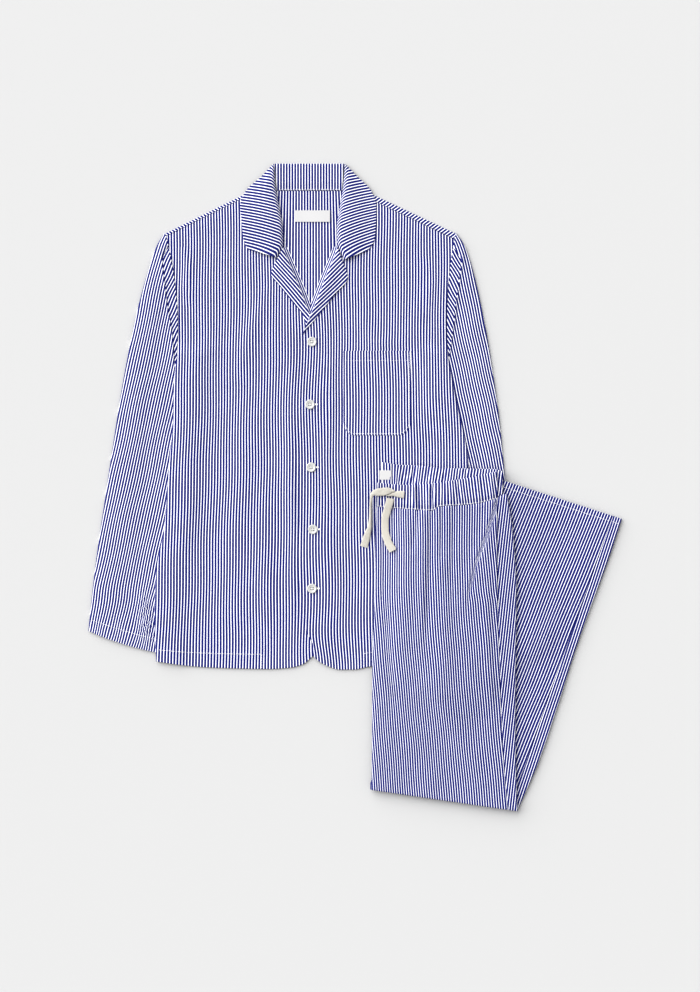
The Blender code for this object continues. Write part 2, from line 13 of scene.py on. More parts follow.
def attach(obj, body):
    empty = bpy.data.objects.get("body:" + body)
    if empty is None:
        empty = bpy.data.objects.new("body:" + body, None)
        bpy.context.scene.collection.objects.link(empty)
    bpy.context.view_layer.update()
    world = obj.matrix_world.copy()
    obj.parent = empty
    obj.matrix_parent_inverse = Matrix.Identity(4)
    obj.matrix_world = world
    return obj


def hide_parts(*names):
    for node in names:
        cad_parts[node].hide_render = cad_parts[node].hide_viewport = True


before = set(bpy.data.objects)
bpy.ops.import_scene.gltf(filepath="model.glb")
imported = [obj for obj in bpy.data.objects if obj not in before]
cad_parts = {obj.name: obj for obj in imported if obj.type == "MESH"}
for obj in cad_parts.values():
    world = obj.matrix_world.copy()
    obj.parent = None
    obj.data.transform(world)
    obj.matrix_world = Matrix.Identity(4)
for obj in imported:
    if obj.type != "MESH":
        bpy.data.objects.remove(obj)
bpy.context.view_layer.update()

bl_info = {
    "name": "Striped pyjama set",
    "version": (1, 0, 0),
    "blender": (4, 5, 0),
    "location": "View3D > Sidebar > Pyjama",
    "description": "Builds the cloth, buttons, stitching and stage of a striped pyjama set",
    "category": "Object",
}

# Sizes are in millimetres in these tables and in metres in the scene.
MM = 0.001
SIDES = ("right", "left")
INWARD = {"right": 1.0, "left": -1.0}
WALL = 1.2
THINNEST = 0.12
EDGE_ROLL = WALL * 0.9
GAP = 0.3
SHARP_ANGLE = math.radians(75)
NEAR = np.array([0.0, 0.15, 0.45, 0.9, 1.5, 2.4])

Edge = namedtuple("Edge", "y x")
Hem = namedtuple("Hem", "x y")
Hole = namedtuple("Hole", "top_x under_x bow")
SleeveRow = namedtuple("SleeveRow", "outer_x outer_y inner_x inner_y bow")
Band = namedtuple("Band", "fold_x fold_y outer_x outer_y base")
Leg = namedtuple("Leg", "y left seam right")
Route = namedtuple("Route", "x y height half")
Place = namedtuple("Place", "x y")
Ring = namedtuple("Ring", "radius height")
Label = namedtuple("Label", "low_x low_y high_x high_y")
Fold = namedtuple("Fold", "path width height shift")
Part = namedtuple("Part", "points faces cut area")


def rows_of(kind, rows):
    """A table of named rows."""
    return [kind(*row) for row in rows]


# ------------------------------------------------------------------ the shirt
SHIRT_ORIGIN = (-71.8, -281.3)
NECK_Y = 741.0
COLLAR_TOP_Y = 782.8
SHOULDER_Y = 674.5
UNDERARM_Y = 492.0
LIFT = 3.4
LIFT_FULL = 24.0
LIFT_END = 60.0
LIFT_FULL_Y = 486.0
LIFT_TOP_Y = 508.0
PLACKET_X = 15.0
PLACKET_END_X = 45.0
PLACKET_FULL_Y = 561.5
PLACKET_TOP_Y = 590.5
HEM_FADE_Y = 60.0
TROUSERS_FROM = Place(70.0, 330.0)
EDGE_TURN = 4.5
STRIPE_PITCH = 4.4
HEM_STITCH = 23.0
HEM_STITCH_X = {"right": (-232.0, -73.0), "left": (85.0, 243.0)}
FACING_STITCH_X = {"right": -73.0, "left": 85.0}
NECK_ZONE_Y = 560.0
SHOULDER_STRIP = {"right": 4.5, "left": 9.0}
BODY = {
    "right": rows_of(Edge, [
        (0, -236.5), (92, -239), (151, -236.4), (217, -224.4), (329, -215.6), (374, -211), (448, -209),
        (486, -203.9)]),
    "left": rows_of(Edge, [
        (0, 245), (92, 250), (151, 250), (217, 249), (323, 247), (358, 241.5), (393, 233), (448, 222),
        (486, 215)]),
}
ARMHOLES = {"right": Hole(-223.0, -203.8, 8.0), "left": Hole(227.7, 214.9, -6.3)}
SHOULDER_NECK_X = {"right": -88.5, "left": 86.0}
HEM = {
    "right": rows_of(Hem, [
        (-237, 12), (-178, 4), (-119, 1), (-60, 0), (-30, 2), (-10, 7), (5, 19), (16, 27)]),
    "left": rows_of(Hem, [
        (6.8, 20), (14, 13), (33, 3), (47, -1), (70, -1), (97, 4), (178, 5), (246, 12)]),
    "back": rows_of(Hem, [(-237, 13), (-178, 6), (-60, 6), (0, 26), (60, 6), (178, 7), (246, 13)]),
}
INNER = {
    "right": rows_of(Edge, [(0, 15), (520, 15), (553, 1.6), (654, -41.5), (684, -45), (741, -57)]),
    "left": rows_of(Edge, [
        (0, 6.8), (23, 6.8), (54, -2.5), (130, -14.5), (517, -14.5), (538, -1.6), (656, 46.5),
        (684, 49), (741, 58)]),
}
SLEEVES = {
    "right": rows_of(SleeveRow, [
        (-223.5, 675.5, -204.4, 492, 8), (-235, 657, -204.9, 468, 6), (-249, 617, -199, 440, 4),
        (-266, 555, -193, 395, 2), (-276, 508, -193, 350, 1), (-289, 439, -197, 300, 0),
        (-303, 350, -203, 240, 0), (-317, 256, -209, 180, 0), (-328, 181, -216, 130, 0),
        (-336, 115, -220, 80, 0), (-341.6, 59, -221, 23, 0)]),
    "left": rows_of(SleeveRow, [
        (228.2, 675.2, 215.5, 492, -6.3), (241, 656, 216.2, 468, -5), (254, 617, 211, 440, -3.5),
        (268, 556, 214, 395, -2), (277.5, 506, 219, 355, -1), (286.6, 447, 225, 310, 0),
        (294.5, 390, 228, 260, 0), (304.4, 292, 229, 200, 0), (318, 205, 229, 140, 0),
        (331, 110, 228, 85, 0), (336, 60, 224, 25, 0)]),
}
SLEEVE_CREASE = {
    "right": rows_of(Edge, [
        (674, -227), (654, -228.3), (630, -229.9), (605, -228.8), (584, -226.8), (564, -224.8),
        (543, -221.7), (525, -217), (498, -213), (459, -209.2)]),
    "left": rows_of(Edge, [
        (672, 230), (657, 235.3), (645, 239.9), (626, 238.9), (605, 237.8), (580, 235.3), (556, 231.6),
        (525, 227.4), (484, 217)]),
}
SLEEVE_LEAN = 0.215
SLEEVE_PHASE = {"right": 2.6, "left": 1.7}
SLEEVE_EDGE = 2.9
SLEEVE_PUFF = 1.3
SLEEVE_GUIDE_X = {"right": -254.0, "left": 257.5}
SLEEVE_STRIP_SLANT = {"right": math.radians(25.0), "left": math.radians(29.0)}
CUFF_BOW = -4.0
CUFF_STITCH = 20.0
COLLARS = {
    "right": rows_of(Band, [
        (-54.4, 782.3, -57, 780.5, 3), (-53.4, 765, -73, 763.5, 3), (-50.5, 741, -98, 740, 3),
        (-45, 712, -106.5, 718, 3), (-40.5, 684, -104, 690, 3), (-39.8, 658, -101, 664, 3),
        (-49.6, 636.8, -94, 650, 3)]),
    "left": rows_of(Band, [
        (55.5, 782.3, 58, 780.5, 3), (54.5, 765, 74, 764, 3), (52, 741, 97, 740, 3),
        (47, 712, 104.6, 718, 3), (43, 684, 104, 690, 3), (43.7, 661, 101.5, 664, 3),
        (54, 633.4, 91, 648, 3)]),
}
LAPELS = {
    "right": rows_of(Band, [
        (-40.6, 653.6, -49.0, 635.2, 3), (-36.5, 644, -58.4, 612, 3), (-24, 615, -44, 592, 3),
        (-12, 586, -26, 569, 3), (-3.5, 563, -11, 551, 3), (5.5, 541, -3.8, 530.5, 2.7)]),
    "left": rows_of(Band, [
        (44.0, 654.6, 52.6, 632.2, 3), (41, 645, 60.4, 606, 3.4), (27, 611, 40, 580, 4.5),
        (12, 572, 14, 547, 4.5), (-1.5, 538, -9.8, 518, 4.5)]),
}
ROLL_ACROSS = (0.0, 0.04, 0.10, 0.24, 0.5, 0.78, 1.0)
ROLL_HEIGHT = (0.10, 0.62, 0.88, 1.0, 0.72, 0.25, 0.0)
COLLAR_RISE = 5.0
COLLAR_GRAIN = 0.86
COLLAR_SLANT_Y = (640.0, 700.0, 782.0)
COLLAR_SLANT = {"right": (19.0, 15.0, 6.0), "left": (26.0, 20.0, 8.0)}
LAPEL_RISE = 2.6
LAPEL_SLANT = {"right": math.radians(41.0), "left": math.radians(46.0)}
FACING_LOW = 1.9
FACING_WALL = 0.7
FACING_STEPS = (-1.5, 0.0, 1.2, 2.4, 3.6, 4.8, 6.0, 7.0)
SHOULDER_SLANT = math.radians(53.0)
SHOULDER_WALL = 0.9
POCKET_X = (53.5, 158.0)
POCKET_Y = (362.0, 493.0)
POCKET_CORNER = 22.0
POCKET_HEM = 15.0
POCKET_WALL = 0.8
POCKET_SEAM = 2.6
LABEL_WALL = 0.5
LABEL_ROWS = 10
NECK_LABEL = Label(-22.0, 692.7, 32.6, 710.5)
NECK_LABEL_TOP = 2.9
BUTTON_SIDES = 48
BUTTON_PROFILE = rows_of(Ring, [
    (0.0, 0.0), (6.4, 0.0), (7.2, 0.35), (7.5, 1.0), (7.45, 1.7), (7.0, 2.35), (6.3, 2.6), (5.6, 2.4),
    (4.9, 1.95), (4.0, 1.75), (0.0, 1.7)])
BUTTON_DISH = 1.75
HOLE_OFFSET = 1.5
HOLE_RADIUS = 1.0
HOLE_SIDES = 16
THREAD_APART = 0.35
BAR_ENDS = (7.2, 13.0)
BAR_LOW = -1.2
BAR_STEP = 0.3
BAR_ROWS = 9
BUTTONS = rows_of(Place, [(4.5, 507), (1.6, 410), (3.3, 312.6), (5.9, 216.5), (4.8, 125)])

# --------------------------------------------------------------- the trousers
HIDDEN = 3.4
BAND_WALL = 2.7
BAND_GAP = 0.8
BAND_TUCK = 2.0
BAND_HEIGHT = 40.0
BAND_DROP = 1.9
BAND_ROLL = 0.9
BAND_SWELL = {"front": 3.0, "back": 2.2}
BAND_FOOT = {"front": 0.3, "back": 2.4}
INNER_LAYER_OUT = 2.6
INNER_LAYER_FROM = 412.0
LEG_LENGTH = 430.0
LEG_ROWS = 140
LEG_COLUMNS = {"front": 66, "back": 8}
LEG_FOLD_RADIUS = 3.2
LEG_FOLD_SOFT = 1.7
BACK_PANEL_SLANT = {"upper": math.radians(6.5), "lower": math.radians(18.5)}
LOWER_LEG_SLANT = math.radians(22.0)
LAYER_INSETS = (1.8, 0.6, 1.3)
TAPE_WIDTH = 12.0
TAPE_TWIST = (56.5, 61.5)
TAPE_ACROSS = (-1.0, -0.93, -0.8, -0.5, 0.0, 0.5, 0.8, 0.93, 1.0)
LATTICE = 10.0
REST_REACH = 30.0
REST_SLOPE = 0.16
UPPER_LEG = rows_of(Leg, [
    (-30, 32.5, 219, 234), (-70, 31.6, 219, 242), (-110, 31.2, 219, 246), (-159, 30.5, 219.5, 249),
    (-217, 28.5, 221, 248.5), (-258, 26.8, 223, 248), (-314, 26, 225, 248), (-361, 26, 227, 248),
    (-417, 25.6, 231, 249), (-468, 25.3, 236, 251)])
LOWER_LEG = rows_of(Leg, [
    (-468, 25.6, 237, 251), (-398, 49.3, 267, 285), (-325, 74.3, 295, 312.5), (-234, 105.5, 330, 344),
    (-112, 147, 376, 391), (-48, 169, 399, 413)])
UPPER_LEG_PHASE = 2.2
KNEE_END = Place(25.3, -468.0)
KNEE_RISE = 33 / 226
HEM_END = Place(413.4, -48.8)
HEM_RISE = 71 / 220
GATHER_SPAN = (28.0, 245.0)
WAIST_SEAM = rows_of(Hem, [
    (33, -30), (96, -35), (118, -36), (130, -29.6), (181, -26), (213, -19), (229, -12)])
BAND_TOP = {
    "front": rows_of(Hem, [
        (32.6, 7.4), (78, 4), (118, 6), (150, 11), (181, 16), (208, 22.5), (222, 25)]),
    "back": rows_of(Hem, [
        (42, 39), (69, 35), (96, 34), (134, 30), (181, 29), (218, 28), (227, 25)]),
}
BAND_X = {"front": (32.8, 219.0), "back": (41.5, 227.0)}
WAIST_LABEL = Label(37.4, 12.0, 55.5, 26.5)
WAIST_LABEL_RISE = 2.2
TAPE_STUB = rows_of(Route, [
    (75.5, -11.0, .3, 5.8), (68, -10.4, .4, 5.2), (61.5, -10.1, .5, 3.9), (53.8, -11.9, .4, 1.9),
    (48.4, -12.9, .3, .6)])
TAPE_RIGHT = rows_of(Route, [
    (60.8, -5.9, 1.0, .7), (56.9, -5.1, 1.4, 2.9), (50.7, -5.4, 2.0, 5.3), (42.9, -6.6, 2.2, 6.2),
    (36.7, -7.2, 1.8, 6), (30.2, -8.2, 1.3, 4.6), (26.2, -11.6, .9, 3.1), (24.4, -17, .6, 2.3),
    (23.6, -27, .4, 2), (23.2, -47.3, .3, 2.2), (22, -61, .3, 3.4), (18.9, -72, .2, 5),
    (15, -86, .1, 5.9), (13.2, -92, .1, 6)])
TAPE_LEFT = rows_of(Route, [
    (53.9, -16.6, .1, 6), (53, -22, .1, 6), (49.4, -35, .1, 6), (45.9, -50.4, .1, 6), (46, -66, .1, 6),
    (49.6, -81.4, .1, 6), (58, -98, .1, 6)])

# Each patch of unevenness keeps its own random draw.
FRONT_SEED = {"right": 11, "left": 12}
SLEEVE_SEED = {"right": 21, "left": 22}
LEG_SEED = {"upper": 51, "lower": 52}
BACK_SEED = 5
LEAF_SEED = 31
STAND_SEED = 41
WAIST_SEED = 71

# Slow waves of the stripes: the height of each, its run down the cloth and its run across.
FRONT_SWAY = ((0.5, 47.0, 60.0), (0.35, 21.0, -35.0))
SLEEVE_SWAY = ((0.5, 33.0, 24.0), (0.3, 13.0, -19.0))
LEG_SWAY = ((0.4, 40.0, 50.0), (0.3, 17.0, -31.0))

# Soft folds of the cloth: the line of each, its half width, its height and how far it draws the stripes.
RIGHT_FRONT_FOLDS = [
    Fold([(-26, 40), (-24, 180), (-30, 330), (-26, 470)], 11, 1.3, 1.0),
    Fold([(-62, 30), (-70, 160), (-66, 300)], 16, 1.2, 0.9),
    Fold([(-118, 60), (-112, 240), (-96, 420)], 20, 1.4, 0.8),
    Fold([(-150, 330), (-166, 430), (-160, 540)], 15, 1.1, -0.9),
    Fold([(-196, 655), (-188, 625), (-192, 590), (-186, 560)], 8, 1.3, 1.3),
    Fold([(-60, 590), (-92, 520), (-112, 440)], 13, 1.3, 1.0),
    Fold([(-176, 90), (-186, 200), (-180, 320)], 17, 1.3, -0.8),
]
LEFT_FRONT_FOLDS = [
    Fold([(44, 30), (38, 160), (42, 300)], 11, 1.2, -1.0),
    Fold([(30, 330), (36, 420), (30, 500)], 9, 1.0, -0.9),
    Fold([(72, 560), (104, 505), (168, 500)], 14, 1.2, 0.8),
    Fold([(180, 640), (188, 600), (182, 550), (190, 505)], 10, 1.3, -1.2),
    Fold([(176, 350), (186, 420), (180, 480)], 14, 1.0, 0.8),
]
SIDE_CREASE = [(219, -22), (210, -50), (202.6, -73.6), (185.5, -120), (173, -174), (170, -215)]
SIDE_TURN_Y = -190.0
UPPER_LEG_FOLDS = [
    Fold([(119, 30), (118, -30), (117, -80), (114, -143), (111, -205), (108, -262)], 5.0, -2.4, 0.9),
    Fold([(97, 20), (96, -32), (94, -66), (87, -104)], 3.5, -2.4, 1.0),
    Fold([(135, 20), (134, -40), (133, -76), (130, -118)], 3.5, -1.9, 1.2),
    Fold([(104, 0), (105, -100), (100, -240)], 7, 1.7, 0.4),
    Fold([(72, 10), (76, -120), (70, -260)], 12, 1.5, 0.8),
    Fold([(155, 10), (150, -112), (146, -190)], 5, -1.5, 1.0),
    Fold([(46, -150), (52, -260), (60, -350)], 9, -1.5, 3.0),
    Fold([(130, -110), (136, -200), (132, -330)], 14, 1.9, -1.2),
    Fold([(110, -290), (155, -380), (205, -462)], 13, 1.6, 0.9),
    Fold([(60, -330), (90, -400), (130, -462)], 12, 1.4, -0.8),
    Fold([(205, -120), (202, -220), (210, -350)], 7, 1.4, -0.6),
]
BAND_FOLDS = [
    Fold([(97, 12), (96, -10), (96.5, -40)], 2.0, -2.0, 1.6),
    Fold([(122, 14), (118, -8), (121, -38)], 2.6, -2.2, 2.0),
    Fold([(85, 10), (86, -14), (86, -38)], 1.7, -1.4, 1.0),
    Fold([(136, 14), (135, -8), (134, -34)], 2.0, -1.2, 1.0),
    Fold([(160, 18), (158, -4), (159, -30)], 1.8, -1.0, 0.8),
    Fold([(58, 42), (57, 20), (59, 0)], 2.2, -1.6, 1.6),
    Fold([(92, 40), (89, 22), (90, 0)], 2.4, -1.6, 1.6),
    Fold([(113, 40), (111, 24), (112, 4)], 1.8, -1.2, 1.0),
    Fold([(140, 40), (137, 22), (138, 6)], 2.0, -1.2, 1.2),
    Fold([(172, 40), (170, 26), (171, 10)], 1.8, -1.0, 1.0),
]
LOWER_LEG_FOLDS = [
    Fold([(110, -390), (160, -280), (200, -170)], 16, 1.6, 0.9),
    Fold([(200, -400), (250, -290), (290, -190)], 18, 1.5, -0.9),
    Fold([(270, -300), (310, -200), (335, -120)], 14, 1.3, 0.8),
]


def mesh_values(*arrays):
    """The same values as arrays of one common shape."""
    return np.broadcast_arrays(*[np.asarray(a, float) for a in arrays])


def curve(table, key, value, at):
    """Smooth reading of one column of a table against another, with no overshoot between its rows."""
    keys = np.array([getattr(row, key) for row in table], float)
    values = np.array([getattr(row, value) for row in table], float)
    return curve_of(keys, values, at)


def curve_of(keys, values, at):
    """A monotone curve through values at keys, read at other places."""
    keys, values = np.asarray(keys, float), np.asarray(values, float)
    order = np.argsort(keys)
    keys, values = keys[order], values[order]
    slopes = np.diff(values) / np.diff(keys)
    tangents = np.empty(len(keys))
    tangents[0], tangents[-1] = slopes[0], slopes[-1]
    product = slopes[:-1] * slopes[1:]
    total = np.where(product > 0, slopes[:-1] + slopes[1:], 1.0)
    tangents[1:-1] = np.where(product > 0, 2.0 * product / total, 0.0)
    at = np.clip(at, keys[0], keys[-1])
    low = np.clip(np.searchsorted(keys, at, side="right") - 1, 0, len(keys) - 2)
    span = keys[low + 1] - keys[low]
    t = (at - keys[low]) / span
    return ((2 * t ** 3 - 3 * t ** 2 + 1) * values[low] + (t ** 3 - 2 * t ** 2 + t) * span * tangents[low]
            + (3 * t ** 2 - 2 * t ** 3) * values[low + 1] + (t ** 3 - t ** 2) * span * tangents[low + 1])


def bell(t, power=2):
    """1 in the middle, falling off to both sides."""
    return np.exp(-t ** power)


def sway(x, y, waves):
    """A sum of slow waves."""
    return sum(height * np.sin(y / down + x / across) for height, down, across in waves)


def smooth(t):
    """From 0 to 1 with soft ends, as t goes from 0 to 1."""
    t = np.clip(t, 0.0, 1.0)
    return t * t * (3.0 - 2.0 * t)


def rolled(distance, radius):
    """How far a rounded edge has dropped at a distance in from it."""
    inside = np.clip(distance / radius, 0.0, 1.0)
    return radius * (1.0 - np.sqrt(1.0 - (1.0 - inside) ** 2))


def spread(low, high, count, near_low=True, near_high=True):
    """Positions from low to high, close together by the ends; low and high may be arrays over the rows."""
    low, high = np.asarray(low, float)[..., None], np.asarray(high, float)[..., None]
    scale = np.minimum(1.0, 0.3 * (high - low) / NEAR[-1])
    start = low + NEAR * scale if near_low else low
    end = high - NEAR[::-1] * scale if near_high else high
    inner = start[..., -1:] + (end[..., :1] - start[..., -1:]) * np.linspace(0.0, 1.0, count + 1)[1:-1]
    return np.concatenate([start, inner, end], axis=-1)


def beside(path, x, y):
    """Signed distance from a bent line, and how far along it, from 0 to 1."""
    path = np.asarray(path, float)
    steps = np.diff(path, axis=0)
    lengths = np.hypot(steps[:, 0], steps[:, 1])
    starts = np.concatenate([[0.0], np.cumsum(lengths)])
    nearest = np.full(np.shape(x), np.inf)
    side = np.zeros(np.shape(x))
    where = np.zeros(np.shape(x))
    for (px, py), (dx, dy), length, start in zip(path, steps, lengths, starts):
        t = np.clip(((x - px) * dx + (y - py) * dy) / length ** 2, 0.0, 1.0)
        off_x, off_y = x - px - dx * t, y - py - dy * t
        distance = np.hypot(off_x, off_y)
        closer = distance < nearest
        nearest = np.where(closer, distance, nearest)
        side = np.where(closer, np.sign(dx * off_y - dy * off_x), side)
        where = np.where(closer, (start + t * length) / starts[-1], where)
    return nearest * side, where


def folded(folds, x, y):
    """Height of the soft folds, and how far they draw the stripes aside."""
    height = np.zeros(np.shape(x))
    drawn = np.zeros(np.shape(x))
    for fold in folds:
        off, where = beside(fold.path, x, y)
        shape = bell(off / fold.width) * np.sin(np.pi * np.clip(where, 0.0, 1.0)) ** 0.7
        height = height + fold.height * shape
        drawn = drawn + fold.shift * shape * (1.0 if fold.height > 0.0 else off / fold.width)
    return height, drawn


def rumple(x, y, seed, size=1.0):
    """A slight unevenness of laid cloth, never below nothing."""
    draw = np.random.default_rng(seed)
    total = np.zeros(np.shape(x))
    for wave in (96.0, 61.0, 41.0, 27.0, 18.0):
        angle, phase, turn = draw.uniform(0.0, math.pi), draw.uniform(0.0, 6.3), draw.uniform(0.0, 6.3)
        run = x * math.cos(angle) + y * math.sin(angle)
        cross = y * math.cos(angle) - x * math.sin(angle)
        bend = 1.3 * np.sin(cross * 3.1 / wave + turn)
        total = total + wave / 96.0 * np.sin(run * 6.283 / wave + phase + bend)
    return size * (0.5 + 0.2 * total)


def points_of(x, y, z):
    """One list of points from the grids of their coordinates."""
    return np.stack([x, y, z], axis=-1).reshape(-1, 3)


def grid_between(y, left, right, count):
    """Rows at y, with points close together by left and right."""
    x = spread(left, right, count)
    return x, y[:, None] * np.ones_like(x)


def on_set(x, y):
    """From the shirt's own frame to that of the set."""
    return x + SHIRT_ORIGIN[0], y + SHIRT_ORIGIN[1]


# ------------------------------------------------------------ shells and tubes
def quads(index):
    """Four-cornered faces over a lattice of point numbers."""
    return np.stack([index[:-1, :-1], index[:-1, 1:], index[1:, 1:], index[1:, :-1]], axis=-1).reshape(-1, 4)


def closed_loops(rows, count):
    """Point numbers of closed loops, with the first of each again at its end."""
    index = np.arange(rows * count).reshape(rows, count)
    return np.concatenate([index, index[:, :1]], axis=1)


def rim(index):
    """The point numbers around the edge of a lattice, in order."""
    return np.concatenate([index[0, :], index[1:, -1], index[-1, -2::-1], index[-2:0:-1, 0]])


def cut_area(u, v):
    """Area of the flat cut, in square millimetres."""
    du1, dv1 = u[1:, 1:] - u[:-1, :-1], v[1:, 1:] - v[:-1, :-1]
    du2, dv2 = u[1:, :-1] - u[:-1, 1:], v[1:, :-1] - v[:-1, 1:]
    return float(np.abs(du1 * dv2 - dv1 * du2).sum() / 2.0)


def wrapped(u, x, y, top):
    """The stripe coordinate, with the cloth that turns down over both side edges counted in."""
    run = np.hypot(np.diff(x, axis=1), np.diff(y, axis=1))
    extra = np.hypot(run, np.diff(top, axis=1)) - run
    across = np.cumsum(run, axis=1)
    from_side = np.minimum(across, across[:, -1:] - across)
    extra = np.cumsum(np.where(from_side < EDGE_TURN, extra, 0.0), axis=1)
    extra = np.concatenate([np.zeros((len(u), 1)), extra], axis=1)
    middle = u.shape[1] // 2
    left, right = np.sign(u[:, 3:4] - u[:, :1]), np.sign(u[:, -1:] - u[:, -4:-3])
    way = np.where(np.arange(u.shape[1]) < middle, left, right)
    return u + way * (extra - extra[:, middle:middle + 1])


def shell(x, y, top, under, u, v):
    """A closed cloth wall between its upper and its lower side."""
    x, y, top, under, u, v = mesh_values(x, y, top, under, u, v)
    index = np.arange(x.size).reshape(x.shape)
    edge = rim(index)
    after = np.roll(edge, -1)
    side = np.stack([edge, edge + x.size, after + x.size, after], axis=-1)
    faces = np.concatenate([quads(index), quads(index + x.size)[:, ::-1], side])
    points = np.concatenate([points_of(x, y, top), points_of(x, y, under)])
    cut = np.tile(np.stack([u, v], axis=-1).reshape(-1, 2), (2, 1))
    return Part(points, faces, cut, cut_area(u, v))


def shirt_shell(x, y, top, under, u, v):
    """A shell whose x and y are in the shirt's own frame."""
    return shell(*on_set(x, y), top, under, u, v)


def underside(level, top):
    """The lower side of a cloth wall, kept below its upper side at rounded edges."""
    return np.minimum(level - WALL, top - THINNEST)


def tube(outer, inner, cut, area):
    """Closed loops with an outer and an inner wall, joined at both ends; the walls are rows x loop x 3."""
    rows, count = outer.shape[:2]
    index = closed_loops(rows, count)
    wall = quads(index)
    total = rows * count
    ends = []
    for row in (0, rows - 1):
        ring = index[row]
        end = np.stack([ring[:-1], ring[:-1] + total, ring[1:] + total, ring[1:]], axis=-1)
        ends.append(end if row else end[:, ::-1])
    faces = np.concatenate([wall, wall[:, ::-1] + total] + ends)
    points = np.concatenate([outer.reshape(-1, 3), inner.reshape(-1, 3)])
    return Part(points, faces, np.tile(cut.reshape(-1, 2), (2, 1)), area)


def enter(piece, nodes=()):
    """Tells the frame what a piece rides on and the plain nodes that it takes the place of."""
    for node in nodes:
        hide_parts(node)
    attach(piece, "root")


def add_piece(name, parts, material, nodes=()):
    """One object of one or more closed parts."""
    offset, points, faces, cuts = 0, [], [], []
    for part in parts:
        points.append(part.points)
        faces.append(part.faces + offset)
        cuts.append(part.cut)
        offset += len(part.points)
    points = np.concatenate(points) * MM
    faces = np.concatenate(faces)
    cut = np.concatenate(cuts) * MM
    mesh = bpy.data.meshes.new(name)
    mesh.from_pydata(points.tolist(), [], faces.tolist())
    layer = mesh.uv_layers.new(name="Cut")
    layer.data.foreach_set("uv", cut[faces.reshape(-1)].astype(np.float32).reshape(-1))
    bm = bmesh.new()
    bm.from_mesh(mesh)
    bmesh.ops.recalc_face_normals(bm, faces=bm.faces)
    bm.to_mesh(mesh)
    bm.free()
    mesh.shade_smooth()
    mesh.set_sharp_from_angle(angle=SHARP_ANGLE)
    mesh.materials.append(look_of(material))
    piece = bpy.data.objects.new(name, mesh)
    bpy.context.scene.collection.objects.link(piece)
    enter(piece, nodes)
    return piece


def declare(parts, layers=1):
    """Works out the length, width and area of a cloth piece's flat cut, and does nothing with them; layers
    says how many of it lie in the mesh.
    """
    cut = parts[0].cut - parts[0].cut.mean(axis=0)
    turned = cut @ np.linalg.svd(cut, full_matrices=False)[2].T
    length, width = np.ptp(turned, axis=0) * MM
    area = parts[0].area * MM * MM * layers
    width, length = (width * layers, length) if width < length else (width, length * layers)
    area = min(area, width * length)


def lay(name, part, nodes=(), material="cotton"):
    """A sheet piece of one shell."""
    piece = add_piece(name, [part], material, nodes)
    declare([part])
    return piece


# ------------------------------------------------------------- shirt surfaces
def armhole_x(side, y):
    """Where an armhole stands at a height."""
    hole = ARMHOLES[side]
    t = (SHOULDER_Y - y) / (SHOULDER_Y - UNDERARM_Y)
    return hole.top_x + (hole.under_x - hole.top_x) * t + hole.bow * 4.0 * t * (1.0 - t)


def hem_rise(side, x, y):
    """How far the curve of a hem shifts a point, nothing above the hem's own zone."""
    return curve(HEM[side], "x", "y", x) * (1.0 - np.minimum(y / HEM_FADE_Y, 1.0))


def body_edge(side, y, drop=0.0):
    """The outer edge of the body: side seam, armhole, then the shoulder line lowered by drop."""
    y = np.asarray(y, float)
    top = SHOULDER_Y - drop
    start = armhole_x(side, top)
    rising = start + (SHOULDER_NECK_X[side] - start) * (y - top) / (NECK_Y - SHOULDER_Y)
    seam = curve(BODY[side], "y", "x", np.minimum(y, LIFT_FULL_Y))
    hole = armhole_x(side, np.clip(y, LIFT_FULL_Y, SHOULDER_Y))
    return np.where(y <= LIFT_FULL_Y, seam, np.where(y <= top, hole, rising))


def side_lift(from_edge, y):
    """How high the body stands where its side lies on the sleeve."""
    across = 1.0 - smooth((from_edge - LIFT_FULL) / (LIFT_END - LIFT_FULL))
    along = 1.0 - smooth((y - LIFT_FULL_Y) / (LIFT_TOP_Y - LIFT_FULL_Y))
    return LIFT * across * along


def placket_lift(x, y):
    """How high the left front stands where it lies on the right one."""
    across = 1.0 - smooth((x - PLACKET_X - 1.0) / (PLACKET_END_X - PLACKET_X - 1.0))
    along = 1.0 - smooth((y - PLACKET_FULL_Y) / (PLACKET_TOP_Y - PLACKET_FULL_Y))
    return (WALL + GAP) * across * along


def front_height(side, x, y):
    """The upper side of a front, in the shirt's own frame, and how far its stripes are drawn.

    Folds and rumples fade out at the edges, on the placket and under the trousers.
    """
    edge = body_edge(side, y, SHOULDER_STRIP[side])
    from_edge = np.abs(edge - x)
    z = 2.0 * WALL + GAP + side_lift(from_edge, y)
    folds = RIGHT_FRONT_FOLDS if side == "right" else LEFT_FRONT_FOLDS
    height, drawn = folded(folds, x, y)
    open_share = smooth((from_edge - 2.0) / 22.0) * smooth((y - 4.0) / 30.0)
    by_neck = smooth((y - NECK_ZONE_Y) / 40.0)
    if side == "left":
        past_edge = x - curve(INNER["left"], "y", "x", y)
        z = z + placket_lift(x, y) * (1.0 + 0.6 * bell(past_edge / 5.0))
        clear = np.maximum(smooth((y - TROUSERS_FROM.y) / 50.0), smooth((TROUSERS_FROM.x - x) / 30.0))
        open_share = open_share * clear * smooth((x - PLACKET_X) / 14.0 + by_neck)
    else:
        open_share = open_share * np.maximum(smooth((-x - 16.0) / 10.0), by_neck)
    z = z + (height + rumple(x, y, FRONT_SEED[side], 0.7)) * open_share
    z = z - 1.9 * rolled(np.maximum(from_edge, 0.0), 3.0) * smooth((LIFT_TOP_Y - y) / 30.0) / 3.0
    return z, drawn


